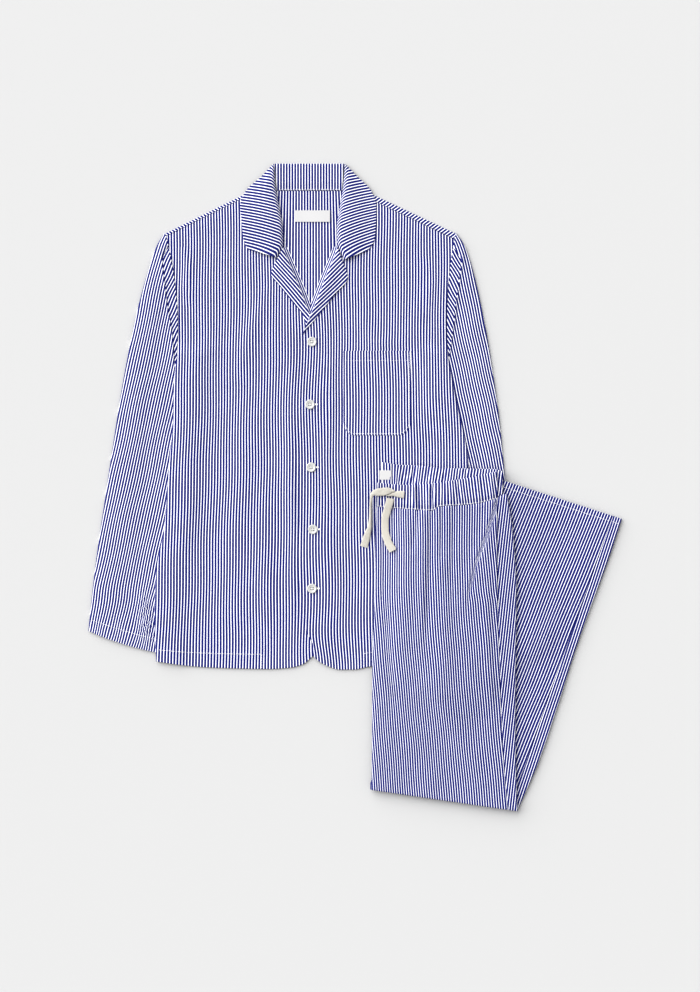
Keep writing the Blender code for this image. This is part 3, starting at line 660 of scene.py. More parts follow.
def front_stripe(side, x, y, drawn):
    """The stripe coordinate of a front: plumb, leaning a little toward the sides and the hem."""
    lean = x * (1.0 - 0.06 * (1.0 - np.clip(y, 0.0, 480.0) / 480.0))
    wave = 1.1 * bell((x - 5.0) / 34.0) * np.sin(y / 31.0 + 1.1)
    hem = 0.0
    if side == "left":
        hem = -5.0 * smooth((90.0 - y) / 90.0) ** 2 * bell((x - 10.0) / 60.0)
    return lean + sway(x, y, FRONT_SWAY) + wave + hem + drawn


def front_rows(side):
    """Rows of a front from its hem to its neck, with y before the hem's curve is added."""
    drop = SHOULDER_STRIP[side]
    y = spread(0.0, NECK_Y - drop - 1.0, 236)
    left = body_edge("right", y, drop) if side == "right" else curve(INNER["left"], "y", "x", y)
    right = curve(INNER["right"], "y", "x", y) if side == "right" else body_edge("left", y, drop)
    return y, left, right


@lru_cache(maxsize=None)
def front_grid(side):
    """Points of a front, the rise of its hem, its upper and lower side and its stripe coordinate."""
    y, left, right = front_rows(side)
    x, y = grid_between(y, left, right, 78)
    level, drawn = front_height(side, x, y)
    to_edge = np.minimum(x - left[:, None], right[:, None] - x)
    top = level - rolled(np.minimum(to_edge, y), EDGE_ROLL)
    return x, y, hem_rise(side, x, y), top, underside(level, top), front_stripe(side, x, y, drawn)


def build_front(side):
    """A front, from its placket to its side seam."""
    x, y, hem, top, under, u = front_grid(side)
    return shirt_shell(x, y + hem, top, under, wrapped(u, *on_set(x, y + hem), top), y)


def build_back():
    """The back, seen inside the neck and below the hem of the fronts."""
    y = spread(0.0, NECK_Y, 110)
    left, right = body_edge("right", y), body_edge("left", y)
    x, y = grid_between(y, left, right, 74)
    from_left, from_right = x - left[:, None], right[:, None] - x
    lift = np.maximum(side_lift(from_left, y), side_lift(from_right, y))
    to_edge = np.minimum(np.minimum(from_left, from_right), y)
    top = WALL + lift - rolled(to_edge, EDGE_ROLL)
    by_neck = smooth((y - NECK_ZONE_Y) / 60.0)
    top = top + 0.5 * (bell(x / 60.0) * by_neck) * rumple(x, y, BACK_SEED) * smooth((y - 575.0) / 30.0)
    under = np.minimum(lift, top - THINNEST)
    lean = 0.05 * (NECK_Y - y) * by_neck * np.clip(x / 50.0, -1.1, 1.1) ** 3
    return shirt_shell(x, y + hem_rise("back", x, y), top, under, x - lean, y)


def sleeve_point(side, down, part):
    """A point of a sleeve: down is the height of its row at the outer edge, part runs inward."""
    table = SLEEVES[side]
    down, part = mesh_values(down, part)
    start_x, start_y = down * 0.0 + curve(table, "outer_y", "outer_x", down), down
    end_x = curve(table, "outer_y", "inner_x", down)
    end_y = curve(table, "outer_y", "inner_y", down)
    bow = curve(table, "outer_y", "bow", down)
    bulge = 4.0 * part * (1.0 - part)
    cuff = CUFF_BOW * smooth(1.0 - (down - table[-1].outer_y) / 40.0)
    x = start_x + (end_x - start_x) * part + bow * bulge
    return x, start_y + (end_y - start_y) * part + cuff * bulge


def crease_part(side, down):
    """Where a sleeve's row crosses the long crease beside the armhole."""
    part = np.full(np.shape(down), 0.6)
    table = SLEEVE_CREASE[side]
    low = min(row.y for row in table)
    for _ in range(12):
        y = sleeve_point(side, down, part)[1]
        start, end = sleeve_point(side, down, 0.0)[0], sleeve_point(side, down, 1.0)[0]
        target = curve(table, "y", "x", y) + INWARD[side] * 0.18 * np.maximum(low - y, 0.0)
        share = (target - start) / np.where(np.abs(end - start) > 1e-6, end - start, 1.0)
        part = 0.5 * part + 0.5 * np.clip(share, 0.12, 0.93)
    return part


def sleeve_top(side, x, y, from_outer, from_crease):
    """Height of a sleeve's upper side; from_crease is positive outside the crease, negative on the strip."""
    along = smooth((SHOULDER_Y - y) / 60.0)
    lower = smooth((y - 130.0) / 200.0)
    puff = SLEEVE_PUFF * along * (0.5 + 0.5 * lower) * np.sin(np.pi * np.clip(from_outer / 70.0, 0.0, 1.0))
    creased = smooth((y - 440.0) / 60.0) * smooth((676.0 - y) / 12.0)
    past = np.maximum(from_crease, 0.0)
    outer = 2.4 * np.exp(-past / 12.0) - 0.62 * rolled(past, 6.0)
    strip = -1.5 * np.exp(-np.maximum(-from_crease, 0.0) / 3.0)
    step = np.where(from_crease >= 0.0, outer, strip) * creased
    rough = rumple(x, y, SLEEVE_SEED[side], 1.1) * smooth(from_outer / 14.0)
    if side == "right":
        rough = rough + crumple(x, y)[0]
    return SLEEVE_EDGE + puff + step + rough * 0.8


def crumple(x, y):
    """The crushed patch of the right cuff beside the body: its height and how it draws the stripes."""
    patch = bell((x + 252.0 + 0.1 * (y - 80.0)) / 11.0) * bell((y - 76.0) / 38.0, 4)
    ripple = np.sin(y / 1.25 + 2.0 * np.sin(x / 2.3)) + 0.6 * np.sin(y / 3.1 - x / 2.0 + 1.0)
    packed = 3.2 * np.tanh((x + 253.0) / 9.0) * bell((y - 76.0) / 42.0, 4)
    return 1.5 * patch * (1.0 + ripple), 0.8 * patch * ripple + packed


def sleeve_stripe(side, x, y, from_crease):
    """The sleeve's stripes run with its own grain, and at a steeper angle on the strip by the armhole."""
    out = -INWARD[side]
    guide = SLEEVE_GUIDE_X[side] - out * SLEEVE_LEAN * (y - 600.0)
    edge = curve(SLEEVES[side], "outer_y", "outer_x", y)
    follow = 0.55 * smooth((y - 540.0) / 120.0)
    main = (x - guide - (edge - guide) * follow) * 1.05 - out * SLEEVE_PHASE[side]
    slant = SLEEVE_STRIP_SLANT[side]
    strip = x * math.cos(slant) + out * (y - 600.0) * math.sin(slant) + 0.8 * np.sin(y / 9.0)
    cuff = 0.7 * bell((y - 62.0) / 16.0) * np.sin(x / 5.2)
    if side == "right":
        cuff = cuff + crumple(x, y)[1]
    return np.where(from_crease >= 0.0, main + sway(x, y, SLEEVE_SWAY) + cuff, strip)


@lru_cache(maxsize=None)
def sleeve_grid(side):
    """Points of a sleeve, its upper and lower side, the share across and its stripe coordinate, which puts a
    blue stripe along the outer edge as painted shade.
    """
    table = SLEEVES[side]
    down = spread(table[-1].outer_y, table[0].outer_y, 190)[::-1][:, None]
    start, end = sleeve_point(side, down, 0.0), sleeve_point(side, down, 1.0)
    width = np.hypot(end[0] - start[0], end[1] - start[1])
    crease = crease_part(side, down) * width
    outer = spread(0.0 * width[:, 0], crease[:, 0], 34)
    inner = spread(crease[:, 0] + 0.35, width[:, 0], 14)
    along = np.concatenate([outer, inner], axis=1)
    part = along / width
    x, y = sleeve_point(side, down, part)
    step = (crease - along) * 0.55
    middle = outer.shape[1]
    step[:, :middle] = np.maximum(step[:, :middle], 0.0)
    step[:, middle:] = np.minimum(step[:, middle:], -1e-6)
    level = sleeve_top(side, x, y, along, step)
    half = SLEEVE_EDGE / 2.0
    nearest = np.minimum(along, width - along)
    arc = np.sqrt(1.0 - (1.0 - np.clip(nearest / half, 0.0, 1.0)) ** 2)
    u = sleeve_stripe(side, x, y, step)
    # Along the outer edge the stripes are drawn onto the middle of a blue stripe: a dark line painted as the
    # shade where the sleeve turns under.
    edge_painted_shade = np.sin(math.tau * (u[:, :1] / STRIPE_PITCH - 0.5)) * np.exp(-along / 1.6)
    return x, y, half + (level - half) * arc, half - half * arc, part, u - 0.95 * edge_painted_shade


def build_sleeve(side):
    """A sleeve, flat and hollow, open at the cuff and at the armhole."""
    x, y, top, bottom, part, u = sleeve_grid(side)
    set_x, set_y = on_set(x, y)
    inset = (0.5 - part) * 2.8 * (-1.0 if x[0, -1] < x[0, 0] else 1.0)
    half = SLEEVE_EDGE / 2.0

    def loop(loop_x, low, high):
        lower = np.stack([loop_x, set_y, low], axis=-1)
        upper = np.stack([loop_x, set_y, high], axis=-1)[:, -2:0:-1]
        return np.concatenate([lower, upper], axis=1)

    outer = loop(set_x, bottom, top)
    inner = loop(set_x + inset, np.minimum(bottom + WALL, half - 0.05), np.maximum(top - WALL, half + 0.05))
    flat = np.stack([wrapped(u, set_x, set_y, top), y], axis=-1)
    cut = np.concatenate([flat, flat[:, -2:0:-1]], axis=1)
    return tube(outer, inner, cut, cut_area(x, y))


def band_point(table, along, across, rise):
    """A point on a turned-over band, its height and its width there."""
    steps = np.arange(len(table), dtype=float)
    row = Band(*[curve_of(steps, values, along) for values in zip(*table)])
    run_x, run_y = row.outer_x - row.fold_x, row.outer_y - row.fold_y
    wide = np.hypot(run_x, run_y)
    x = row.fold_x + run_x * across
    y = row.fold_y + run_y * across
    z = row.base + rise * np.minimum(1.0, wide / 30.0) * curve_of(ROLL_ACROSS, ROLL_HEIGHT, across)
    return x, y, z + WALL, wide


def band_grid(table, rise, rows=70, columns=30):
    """Points of a turned-over band, its upper and lower side and the distance from its fold."""
    last = len(table) - 1
    length = 38.0 * last
    along = spread(0.0, length, rows)[:, None] / length * last
    across = spread(0.0, 60.0, columns)[None, :] / 60.0
    along, across = mesh_values(along, across)
    x, y, z, wide = band_point(table, along, across, rise)
    ends = np.minimum(along, last - along) * length / last
    edge = np.minimum(np.minimum(across, 1.0 - across) * wide, ends)
    top = z - rolled(edge, EDGE_ROLL)
    return x, y, top, underside(z, top), across * wide


def build_collar_leaf(side):
    """One half of the collar, its stripes turning with the neck."""
    x, y, top, under, from_fold = band_grid(COLLARS[side], COLLAR_RISE)
    fold = curve(COLLARS[side], "fold_y", "fold_x", y)
    slant = np.radians(curve_of(COLLAR_SLANT_Y, COLLAR_SLANT[side], y))
    hook = 5.0 * np.clip(1.0 - from_fold / 7.0, 0.0, 1.0) ** 2
    arch = 2.0 * np.sin(np.pi * np.clip(from_fold / 62.0, 0.0, 1.0))
    u = (y + INWARD[side] * (x - fold) * np.tan(slant) + hook - arch * 0.6) * COLLAR_GRAIN
    return shirt_shell(x, y, top + 0.4 * rumple(x, y, LEAF_SEED), under, u, from_fold)


def build_lapel(side):
    """A lapel: the facing turned outward, with its stripes on the slant."""
    x, y, top, under, _ = band_grid(LAPELS[side], LAPEL_RISE, 60, 22)
    sign, slant = INWARD[side], LAPEL_SLANT[side]
    u = x * math.cos(slant) + sign * y * math.sin(slant) + 0.5 * np.sin(y / 14.0)
    v = sign * -x * math.sin(slant) + y * math.cos(slant)
    return shirt_shell(x, y, top, under, u, v)


def build_facing_roll(side):
    """The strip of the facing that rolls down inside the neck from the fold of the lapel."""
    table = LAPELS[side]
    inward = np.array(FACING_STEPS)[None, :]
    along = np.linspace(0.0, len(table) - 1.0, 90)[:, None] * np.ones_like(inward)
    x, y, z, _ = band_point(table, along, np.zeros_like(along), 0.0)
    top = z + (FACING_LOW - z) * smooth((inward + 0.8) / 6.5)
    return shirt_shell(x + INWARD[side] * inward, y, top, top - FACING_WALL, 1.35 * inward, y)


def build_shoulder_turn(side):
    """The strip of the back that turns over the shoulder in front of the seam."""
    neck, hole = SHOULDER_NECK_X[side], ARMHOLES[side].top_x
    along, across = mesh_values(np.linspace(0.0, 1.0, 60)[:, None], np.linspace(0.0, 1.0, 9)[None, :])
    x = hole + (neck - hole) * along
    y = SHOULDER_Y + (NECK_Y - SHOULDER_Y) * along - SHOULDER_STRIP[side] * across
    top = 1.3 + 1.7 * np.sqrt(1.0 - (1.0 - across) ** 2)
    u = x * math.cos(SHOULDER_SLANT) + INWARD[side] * y * math.sin(SHOULDER_SLANT)
    return shirt_shell(x, y, top, top - SHOULDER_WALL, u, y + 0.2 * x)


def collar_back_level(x, y):
    """The collar stand rises a little from the neck seam to its fold."""
    return 2.3 + 1.1 * smooth((y - NECK_Y) / 14.0) + 0.3 * rumple(x, y, STAND_SEED)


def build_collar_back():
    """The inside of the collar stand, folded over at its top edge."""
    y = spread(NECK_Y + 0.5, COLLAR_TOP_Y, 26)
    grow = (y - NECK_Y) / (COLLAR_TOP_Y - NECK_Y)
    x, y = grid_between(y, -49.4 - 3.6 * grow, 51.0 + 2.8 * grow, 44)
    top = collar_back_level(x, y)
    top = top - rolled(COLLAR_TOP_Y - y, 1.7) - rolled(y - NECK_Y - 0.5, 0.4)
    return shirt_shell(x, y, top, 0.0, x + 1.4, y)


def pocket_height(x, y):
    """The upper side of the pocket before its edges are rounded."""
    return front_height("left", x, y)[0] + POCKET_WALL


def build_pocket():
    """The chest pocket, with rounded lower corners and its stripes a little off those of the front."""
    low, high = POCKET_Y
    y = spread(low, high, 50)
    up = np.minimum(y - low, POCKET_CORNER)
    inset = POCKET_CORNER - np.sqrt(POCKET_CORNER ** 2 - (POCKET_CORNER - up) ** 2)
    left, right = POCKET_X[0] + inset * 0.75, POCKET_X[1] - inset
    x, y = grid_between(y, left, right, 42)
    level = pocket_height(x, y) + 0.35 * bell((y - 484.0) / 9.0)
    edge = np.minimum(np.minimum(x - left[:, None], right[:, None] - x), np.minimum(y - low, high - y))
    top = level - rolled(edge, POCKET_WALL * 0.9) - 0.2 * bell((edge - POCKET_SEAM) / 0.9)
    drawn = front_height("left", x, y)[1]
    under = np.minimum(level - POCKET_WALL, top - 0.1)
    return shirt_shell(x, y, top, under, front_stripe("left", x, y, drawn) + 0.9, y)


def build_button():
    """A button with a raised rim and a dished middle, before its holes are cut."""
    bm = bmesh.new()
    rings = []
    for radius, height in BUTTON_PROFILE:
        count = BUTTON_SIDES if radius else 1
        turns = [math.tau * k / count for k in range(count)]
        rings.append([bm.verts.new((radius * math.cos(a), radius * math.sin(a), height)) for a in turns])
    for low, high in zip(rings, rings[1:]):
        for k in range(BUTTON_SIDES):
            n = (k + 1) % BUTTON_SIDES
            corners = [low[k % len(low)], low[n % len(low)], high[n % len(high)], high[k % len(high)]]
            bm.faces.new(list(dict.fromkeys(corners)))
    bmesh.ops.recalc_face_normals(bm, faces=bm.faces)
    mesh = bpy.data.meshes.new("button_shape")
    bm.to_mesh(mesh)
    bm.free()
    mesh.transform(Matrix.Scale(MM, 4))
    for poly in mesh.polygons:
        poly.use_smooth = True
    return mesh


def button_base(place):
    """The height of a button's underside."""
    return front_height("left", np.array(place.x), np.array(place.y))[0] + GAP


def bored(piece, context):
    """Cuts the four holes through a button."""
    cutter = bpy.data.meshes.new("holes")
    bm = bmesh.new()
    for dx, dy in ((-1.0, -1.0), (1.0, -1.0), (-1.0, 1.0), (1.0, 1.0)):
        ring = bmesh.ops.create_cone(bm, cap_ends=True, segments=HOLE_SIDES, radius1=HOLE_RADIUS * MM,
                                     radius2=HOLE_RADIUS * MM, depth=6 * MM)
        middle = (dx * HOLE_OFFSET * MM, dy * HOLE_OFFSET * MM, 1.3 * MM)
        bmesh.ops.translate(bm, verts=ring["verts"], vec=middle)
    bm.to_mesh(cutter)
    bm.free()
    tool = bpy.data.objects.new("holes", cutter)
    tool.location = piece.location
    context.scene.collection.objects.link(tool)
    cut = piece.modifiers.new("Holes", "BOOLEAN")
    cut.object = tool
    cut.operation = "DIFFERENCE"
    context.view_layer.update()
    solid = bpy.data.meshes.new_from_object(piece.evaluated_get(context.evaluated_depsgraph_get()))
    piece.modifiers.clear()
    piece.data = solid
    bpy.data.objects.remove(tool, do_unlink=True)
    solid.set_sharp_from_angle(angle=math.radians(45))


# ---------------------------------------------------------- trouser surfaces
class HeightMap:
    """Heights on an even lattice, read between its points."""

    def __init__(self, low, high, step, heights):
        self.low, self.high, self.step, self.heights = low, high, step, heights

    def at(self, x, y):
        """The height at each point."""
        x, y = mesh_values(x, y)
        rows, columns = self.heights.shape
        i = np.clip((x - self.low[0]) / self.step, 0.0, columns - 1.001)
        j = np.clip((y - self.low[1]) / self.step, 0.0, rows - 1.001)
        i0, j0 = i.astype(int), j.astype(int)
        fi, fj = i - i0, j - j0
        h = self.heights
        return (h[j0, i0] * (1 - fi) * (1 - fj) + h[j0, i0 + 1] * fi * (1 - fj)
                + h[j0 + 1, i0] * (1 - fi) * fj + h[j0 + 1, i0 + 1] * fi * fj)


def draped_over(supports, low, high, step, reach=REST_REACH, slope=REST_SLOPE, blur=2):
    """The underside of cloth laid over points: level a little past each, then down to the floor."""
    xs = np.arange(low[0], high[0] + step, step)
    ys = np.arange(low[1], high[1] + step, step)
    gx, gy = np.meshgrid(xs, ys)
    heights = np.zeros(gx.shape)
    for px, py, pz in supports:
        past = np.hypot(gx - px, gy - py) - reach
        heights = np.maximum(heights, pz + GAP - slope * np.maximum(past, 0.0))
    for _ in range(blur):
        padded = np.pad(heights, 1, mode="edge")
        total = sum(padded[1 + j:padded.shape[0] - 1 + j, 1 + i:padded.shape[1] - 1 + i]
                    for j in (-1, 0, 1) for i in (-1, 0, 1))
        heights = total / 9.0
    return HeightMap(low, high, step, heights)


@lru_cache(maxsize=None)
def shirt_rest():
    """The underside of the trousers where they lie on the left front and the left sleeve."""
    x, y, hem, top, _, _ = front_grid("left")
    keep = (slice(None, None, 8), slice(None, None, 6))
    front = points_of(*on_set(x[keep], (y + hem)[keep]), top[keep])
    x, y, top, _, _, _ = sleeve_grid("left")
    keep = (slice(None, None, 8), slice(4, -4, 6))
    sleeve = points_of(*on_set(x[keep], y[keep]), top[keep])
    supports = np.vstack([front, sleeve])
    supports = supports[(supports[:, 1] < 80.0) & (supports[:, 0] > -40.0)]
    return draped_over(supports, (-20.0, -520.0), (430.0, 60.0), LATTICE)


def knee_fold(x):
    """The line where the legs are folded in two."""
    return KNEE_END.y - (x - KNEE_END.x) * KNEE_RISE


def leg_hem(x):
    """The line of the hem of the lower leg."""
    return HEM_END.y + (HEM_END.x - x) * HEM_RISE


def waist_line(x):
    """The seam between the waistband and the leg."""
    return curve(WAIST_SEAM, "x", "y", x)


def gathers(x, down, seed):
    """Irregular puckers below an elastic waist, and how they draw the stripes."""
    draw = np.random.default_rng(seed)
    height, drawn = np.zeros(np.shape(x)), np.zeros(np.shape(x))
    place, end = GATHER_SPAN
    while place < end:
        width, tall = draw.uniform(1.5, 4.6), draw.uniform(0.25, 1.0) ** 1.4
        reach, drift = draw.uniform(9.0, 46.0) * tall, draw.uniform(-0.16, 0.16)
        off = (x - place - drift * down) / (width * (1.0 + down / 60.0))
        shape = tall * np.exp(-off ** 2 - down / reach)
        height = height + shape
        drawn = drawn + shape * off * 1.5
        place += draw.uniform(3.2, 10.5)
    return height, drawn


def leg_span(leg, part):
    """The left edge, the side seam and the right edge of a leg, a share of the way down."""
    table = UPPER_LEG if leg == "upper" else LOWER_LEG
    y = table[0].y + (table[-1].y - table[0].y) * part
    return [curve(table, "y", name, y) for name in ("left", "seam", "right")]


def leg_place(leg, part, x):
    """How far down a point of a folded leg is, at a share of the way from its top to its bottom."""
    top = waist_line(x) + BAND_TUCK if leg == "upper" else knee_fold(x) + 0.5
    bottom = knee_fold(x) if leg == "upper" else leg_hem(x)
    return top + (bottom - top) * part


@lru_cache(maxsize=None)
def lower_leg_top():
    """Points of the lower leg that the upper one lies on."""
    panels = [leg_grid("lower", "front", 60, 26), leg_grid("lower", "back", 60, 5)]
    return np.vstack([points_of(*(values[::3, ::3] for values in panel[:3])) for panel in panels])


@lru_cache(maxsize=None)
def upper_rest():
    """The underside of the upper leg and the waistband: over the shirt and the lower leg."""
    base = shirt_rest()
    lower = lower_leg_top()
    reach = draped_over(lower[lower[:, 1] < 60.0], base.low, base.high, LATTICE)
    return HeightMap(base.low, base.high, LATTICE, np.maximum(base.heights, reach.heights))


def leg_rest(leg, x, y):
    """The height of what a folded leg lies on."""
    return (shirt_rest() if leg == "lower" else upper_rest()).at(x, y)


def leg_surface(leg, x, y, down, from_seam, panel):
    """Level of a leg panel with its folds, and its stripe coordinate."""
    folds = UPPER_LEG_FOLDS if leg == "upper" else LOWER_LEG_FOLDS
    height, drawn = folded(folds, x, y)
    rough = (height + rumple(x, y, LEG_SEED[leg], 1.0)) * smooth(from_seam / 16.0)
    level = leg_rest(leg, x, y) + HIDDEN + GAP + WALL + rough
    if leg == "upper":
        pucker, pulled = gathers(x, np.maximum(down, 0.0), WAIST_SEED)
        under_band = 1.0 - smooth((down - 0.5) / 2.8)
        level = level + 2.6 * pucker * (1.0 - under_band) - 0.9 * under_band
        drawn = drawn + pulled
    level = level + 0.3 * bell((from_seam - 1.8) / 1.2) - 0.5 * bell(from_seam / 0.8)
    waves = sway(x, y, LEG_SWAY)
    if panel == "back":
        slant = BACK_PANEL_SLANT[leg]
        return level, (x * math.cos(slant) - y * math.sin(slant)) * 1.1 + 0.3 * waves
    if leg == "lower":
        slant = LOWER_LEG_SLANT
        return level, x * math.cos(slant) - y * math.sin(slant) + drawn * 0.8 + waves
    lean = 0.05 * (np.hypot(-y - 175.0, 30.0) - y - 175.0)
    off, _ = beside(SIDE_CREASE, x, y)
    crease = 1.7 * bell(np.minimum(off, 0.0) / 10.0) - 1.9 * bell(off / 2.6)
    level = level + crease * smooth((y - SIDE_CREASE[-1][1]) / 60.0)
    above = y - SIDE_TURN_Y
    past = smooth((off + 2.5) / 5.0) * smooth(above / 30.0)
    narrow = 1.26 * x - 0.00035 * x ** 2
    u = narrow - lean + past * 0.09 * np.maximum(above, 0.0) + UPPER_LEG_PHASE
    return level, u + drawn * 0.8 + waves


@lru_cache(maxsize=None)
def leg_grid(leg, panel, rows, columns):
    """Points of a leg panel, its upper and lower side and its stripe coordinate."""
    part = spread(0.0, LEG_LENGTH, rows)[:, None] / LEG_LENGTH
    left, seam, right = leg_span(leg, part[:, 0])
    low, high = (left, seam - 0.05) if panel == "front" else (seam + 0.05, right)
    x = spread(low, high, columns)
    part = part * np.ones_like(x)
    y = leg_place(leg, part, x)
    from_low, from_high = x - low[:, None], high[:, None] - x
    outer, from_seam = (from_low, from_high) if panel == "front" else (from_high, from_low)
    from_top, from_bottom = part * LEG_LENGTH, (1.0 - part) * LEG_LENGTH
    fold, hem = (from_bottom, from_top) if leg == "upper" else (from_top, from_bottom)
    level, u = leg_surface(leg, x, y, from_top, from_seam, panel)
    radius = LEG_FOLD_RADIUS
    soft = LEG_FOLD_SOFT * (rolled(outer, radius) + rolled(fold, radius)) / radius
    edge = np.minimum(outer, np.minimum(fold, hem))
    level = level - np.minimum(soft, 2.2)
    top = level - rolled(edge, EDGE_ROLL) - 0.4 * rolled(from_seam, EDGE_ROLL)
    return x, y, top, underside(level, top), u


def build_leg_panel(leg, panel):
    """One of the two cloth panels that show on a folded leg."""
    x, y, top, under, u = leg_grid(leg, panel, LEG_ROWS, LEG_COLUMNS[panel])
    return shell(x, y, top, under, wrapped(u, x, y, top), y)


def build_hidden_layers(leg):
    """The three folded layers under a leg's upper one, each with its own soft edge."""
    parts = []
    for layer, inset in enumerate(LAYER_INSETS):
        part = spread(inset, LEG_LENGTH - inset, 60)[:, None] / LEG_LENGTH
        left, _, right = leg_span(leg, part[:, 0])
        if leg == "upper" and layer == 1:
            left = left - INNER_LAYER_OUT * smooth((part[:, 0] * LEG_LENGTH - INNER_LAYER_FROM) / 5.0)
        x = spread(left + inset, right - inset, 58)
        part = part * np.ones_like(x)
        y = leg_place(leg, part, x)
        rest = leg_rest(leg, x, y)
        surface, _ = leg_surface(leg, x, y, part * LEG_LENGTH, np.full(x.shape, 50.0), "front")
        room = np.clip(surface - rest - WALL - 0.2, 1.0, HIDDEN)
        level = rest + (layer + 1) * room / 3.0
        across = np.minimum(x - x[:, :1], x[:, -1:] - x)
        edge = np.minimum(across, np.minimum(part, 1.0 - part) * LEG_LENGTH)
        top = level - rolled(edge, 0.5)
        under = level - room / 3.0 + 0.1 + rolled(edge, 0.4)
        parts.append(shell(x, y, top, np.minimum(under, top - 0.05), x, y))
    return parts


def band_place(top_line, low, x, share):
    """A point of the waistband, a share of the way up from its seam."""
    seam = waist_line(x) + low
    return seam + (curve(top_line, "x", "y", x) - seam) * share


def band_surface(which, x, y, share):
    """Level of a waistband panel with its puckers, and its stripe coordinate."""
    front = which == "front"
    level = upper_rest().at(x, y) + BAND_WALL + (BAND_WALL + BAND_GAP if front else 0.0)
    channel = 0.45 + 0.55 * np.sin(np.pi * share) ** 0.5
    bent = x + 2.0 * np.sin(share * 3.0 + x / 17.0)
    pucker, pulled = gathers(bent, 0.0 * x, WAIST_SEED if front else WAIST_SEED + 1)
    height, drawn = folded(BAND_FOLDS, x, y)
    level = level + BAND_SWELL[which] * pucker * channel + 0.8 + height
    if front:
        level = level - BAND_DROP * (1.0 - smooth(share * BAND_HEIGHT / 9.0))
    slant = -0.13 * smooth((x - 120.0) / 60.0) if front else 0.14 * smooth((x - 58.0) / 12.0)
    middle, phase = (-8.0, 0.6) if front else (33.0, 1.8)
    wave = 0.7 * pulled * channel + 0.5 * np.sin(x / 9.0 + 2.0 * share)
    return level, x - slant * (y - middle) + drawn + wave + phase


def build_waistband(which):
    """The front or the back panel of the waistband."""
    span, line = BAND_X[which], BAND_TOP[which]
    share = spread(0.0, BAND_HEIGHT, 26)[:, None] / BAND_HEIGHT
    x = spread(np.full(share.shape[0], span[0]), np.full(share.shape[0], span[1]), 150)
    share = share * np.ones_like(x)
    y = band_place(line, BAND_FOOT[which], x, share)
    level, u = band_surface(which, x, y, share)
    edge = np.minimum(np.minimum(x - span[0], span[1] - x), np.minimum(share, 1.0 - share) * BAND_HEIGHT)
    top = level - rolled(edge, BAND_ROLL)
    return shell(x, y, top, np.minimum(level - BAND_WALL, top - THINNEST), u, share * BAND_HEIGHT)


def label_grid(label, columns):
    """Points over the oblong of a label."""
    y = spread(label.low_y, label.high_y, LABEL_ROWS)
    return grid_between(y, np.full(len(y), label.low_x), np.full(len(y), label.high_x), columns)


@lru_cache(maxsize=None)
def trouser_top():
    """What the drawstring lies on: the shirt front, the upper leg and the front waistband."""
    x, y, hem, top, _, _ = front_grid("left")
    front = points_of(*on_set(x, y + hem), top)
    leg = points_of(*leg_grid("upper", "front", LEG_ROWS, LEG_COLUMNS["front"])[:3])
    stack = np.vstack([front, leg, build_waistband("front").points])
    near = (stack[:, 0] > -10) & (stack[:, 0] < 95) & (stack[:, 1] > -120) & (stack[:, 1] < 15)
    return draped_over(stack[near], (-10.0, -120.0), (95.0, 15.0), 2.5, reach=4.0, slope=0.8, blur=1)


def tape_path(route, count):
    """Even steps along a route, and the distance of each from its start."""
    points = np.array([tuple(p) for p in route])
    lengths = np.concatenate([[0.0], np.cumsum(np.hypot(*np.diff(points[:, :2], axis=0).T))])
    at = np.linspace(0.0, lengths[-1], count)
    return np.stack([curve_of(lengths, points[:, k], at) for k in range(4)], axis=1), at


def build_tape(route):
    """A flat woven tape along its route; where it is narrow it stands on its edge."""
    line, at = tape_path(route, 120)
    along = np.gradient(line[:, :2], axis=0)
    along /= np.linalg.norm(along, axis=1)[:, None]
    side = np.stack([along[:, 1], -along[:, 0]], axis=1)
    across = np.array(TAPE_ACROSS)[None, :]
    half = line[:, 3:4]
    x = line[:, 0:1] + side[:, 0:1] * half * across
    y = line[:, 1:2] + side[:, 1:2] * half * across
    rest = trouser_top()
    lines = [line[:, :2] + side * half * k for k in (-1.0, 0.0, 1.0)]
    ground = np.max([rest.at(*points.T) for points in lines], axis=0)[:, None]
    turned = 1.0 - half / (TAPE_WIDTH / 2.0)
    level = ground + line[:, 2:3] + WALL + 2.0 * turned * (1.0 - across ** 2)
    thin_edge = 0.9 * np.clip((np.abs(across) - 0.7) / 0.3, 0.0, 1.0) ** 2
    top = level - thin_edge + 0.15 * np.sin(at[:, None] / 11.0)
    path = np.stack([line[:, 0], line[:, 1], (level - 0.6)[:, 4]], axis=1)
    part = shell(x, y, top, np.minimum(level - WALL, top - 0.2), half * across, at[:, None])
    return part, path * MM


# ----------------------------------------------------------------- stitching
STITCH_STEPS = np.array([-0.5, -0.42, -0.2, 0.2, 0.42, 0.5])
STITCH_ARCH = np.array([-0.25, 0.0, 0.1, 0.1, 0.0, -0.25])
STITCH_TAPER = (0.3, 0.85, 1.0, 1.0, 0.85, 0.3)
STITCH_CAPS = np.array([[0, 1, 2, 3], [3, 4, 5, 0], [33, 32, 31, 30], [30, 35, 34, 33]])


def stitches(points, length=2.7, gap=0.9, radius=0.29, lift=0.14):
    """A run of small sewn stitches along a line of points."""
    points = np.asarray(points, float)
    steps = np.concatenate([[0.0], np.cumsum(np.linalg.norm(np.diff(points, axis=0), axis=1))])
    count = int(steps[-1] // (length + gap))
    parts = []
    for k in range(count):
        at = (length + gap) * (k + 0.5) + STITCH_STEPS * length
        line = np.stack([np.interp(at, steps, points[:, a]) for a in range(3)], axis=1)
        line[:, 2] += lift + STITCH_ARCH
        direction = line[-1, :2] - line[0, :2]
        size = np.linalg.norm(direction)
        if size > 1e-6:
            parts.append(capsule(line, direction / size, radius))
    return parts


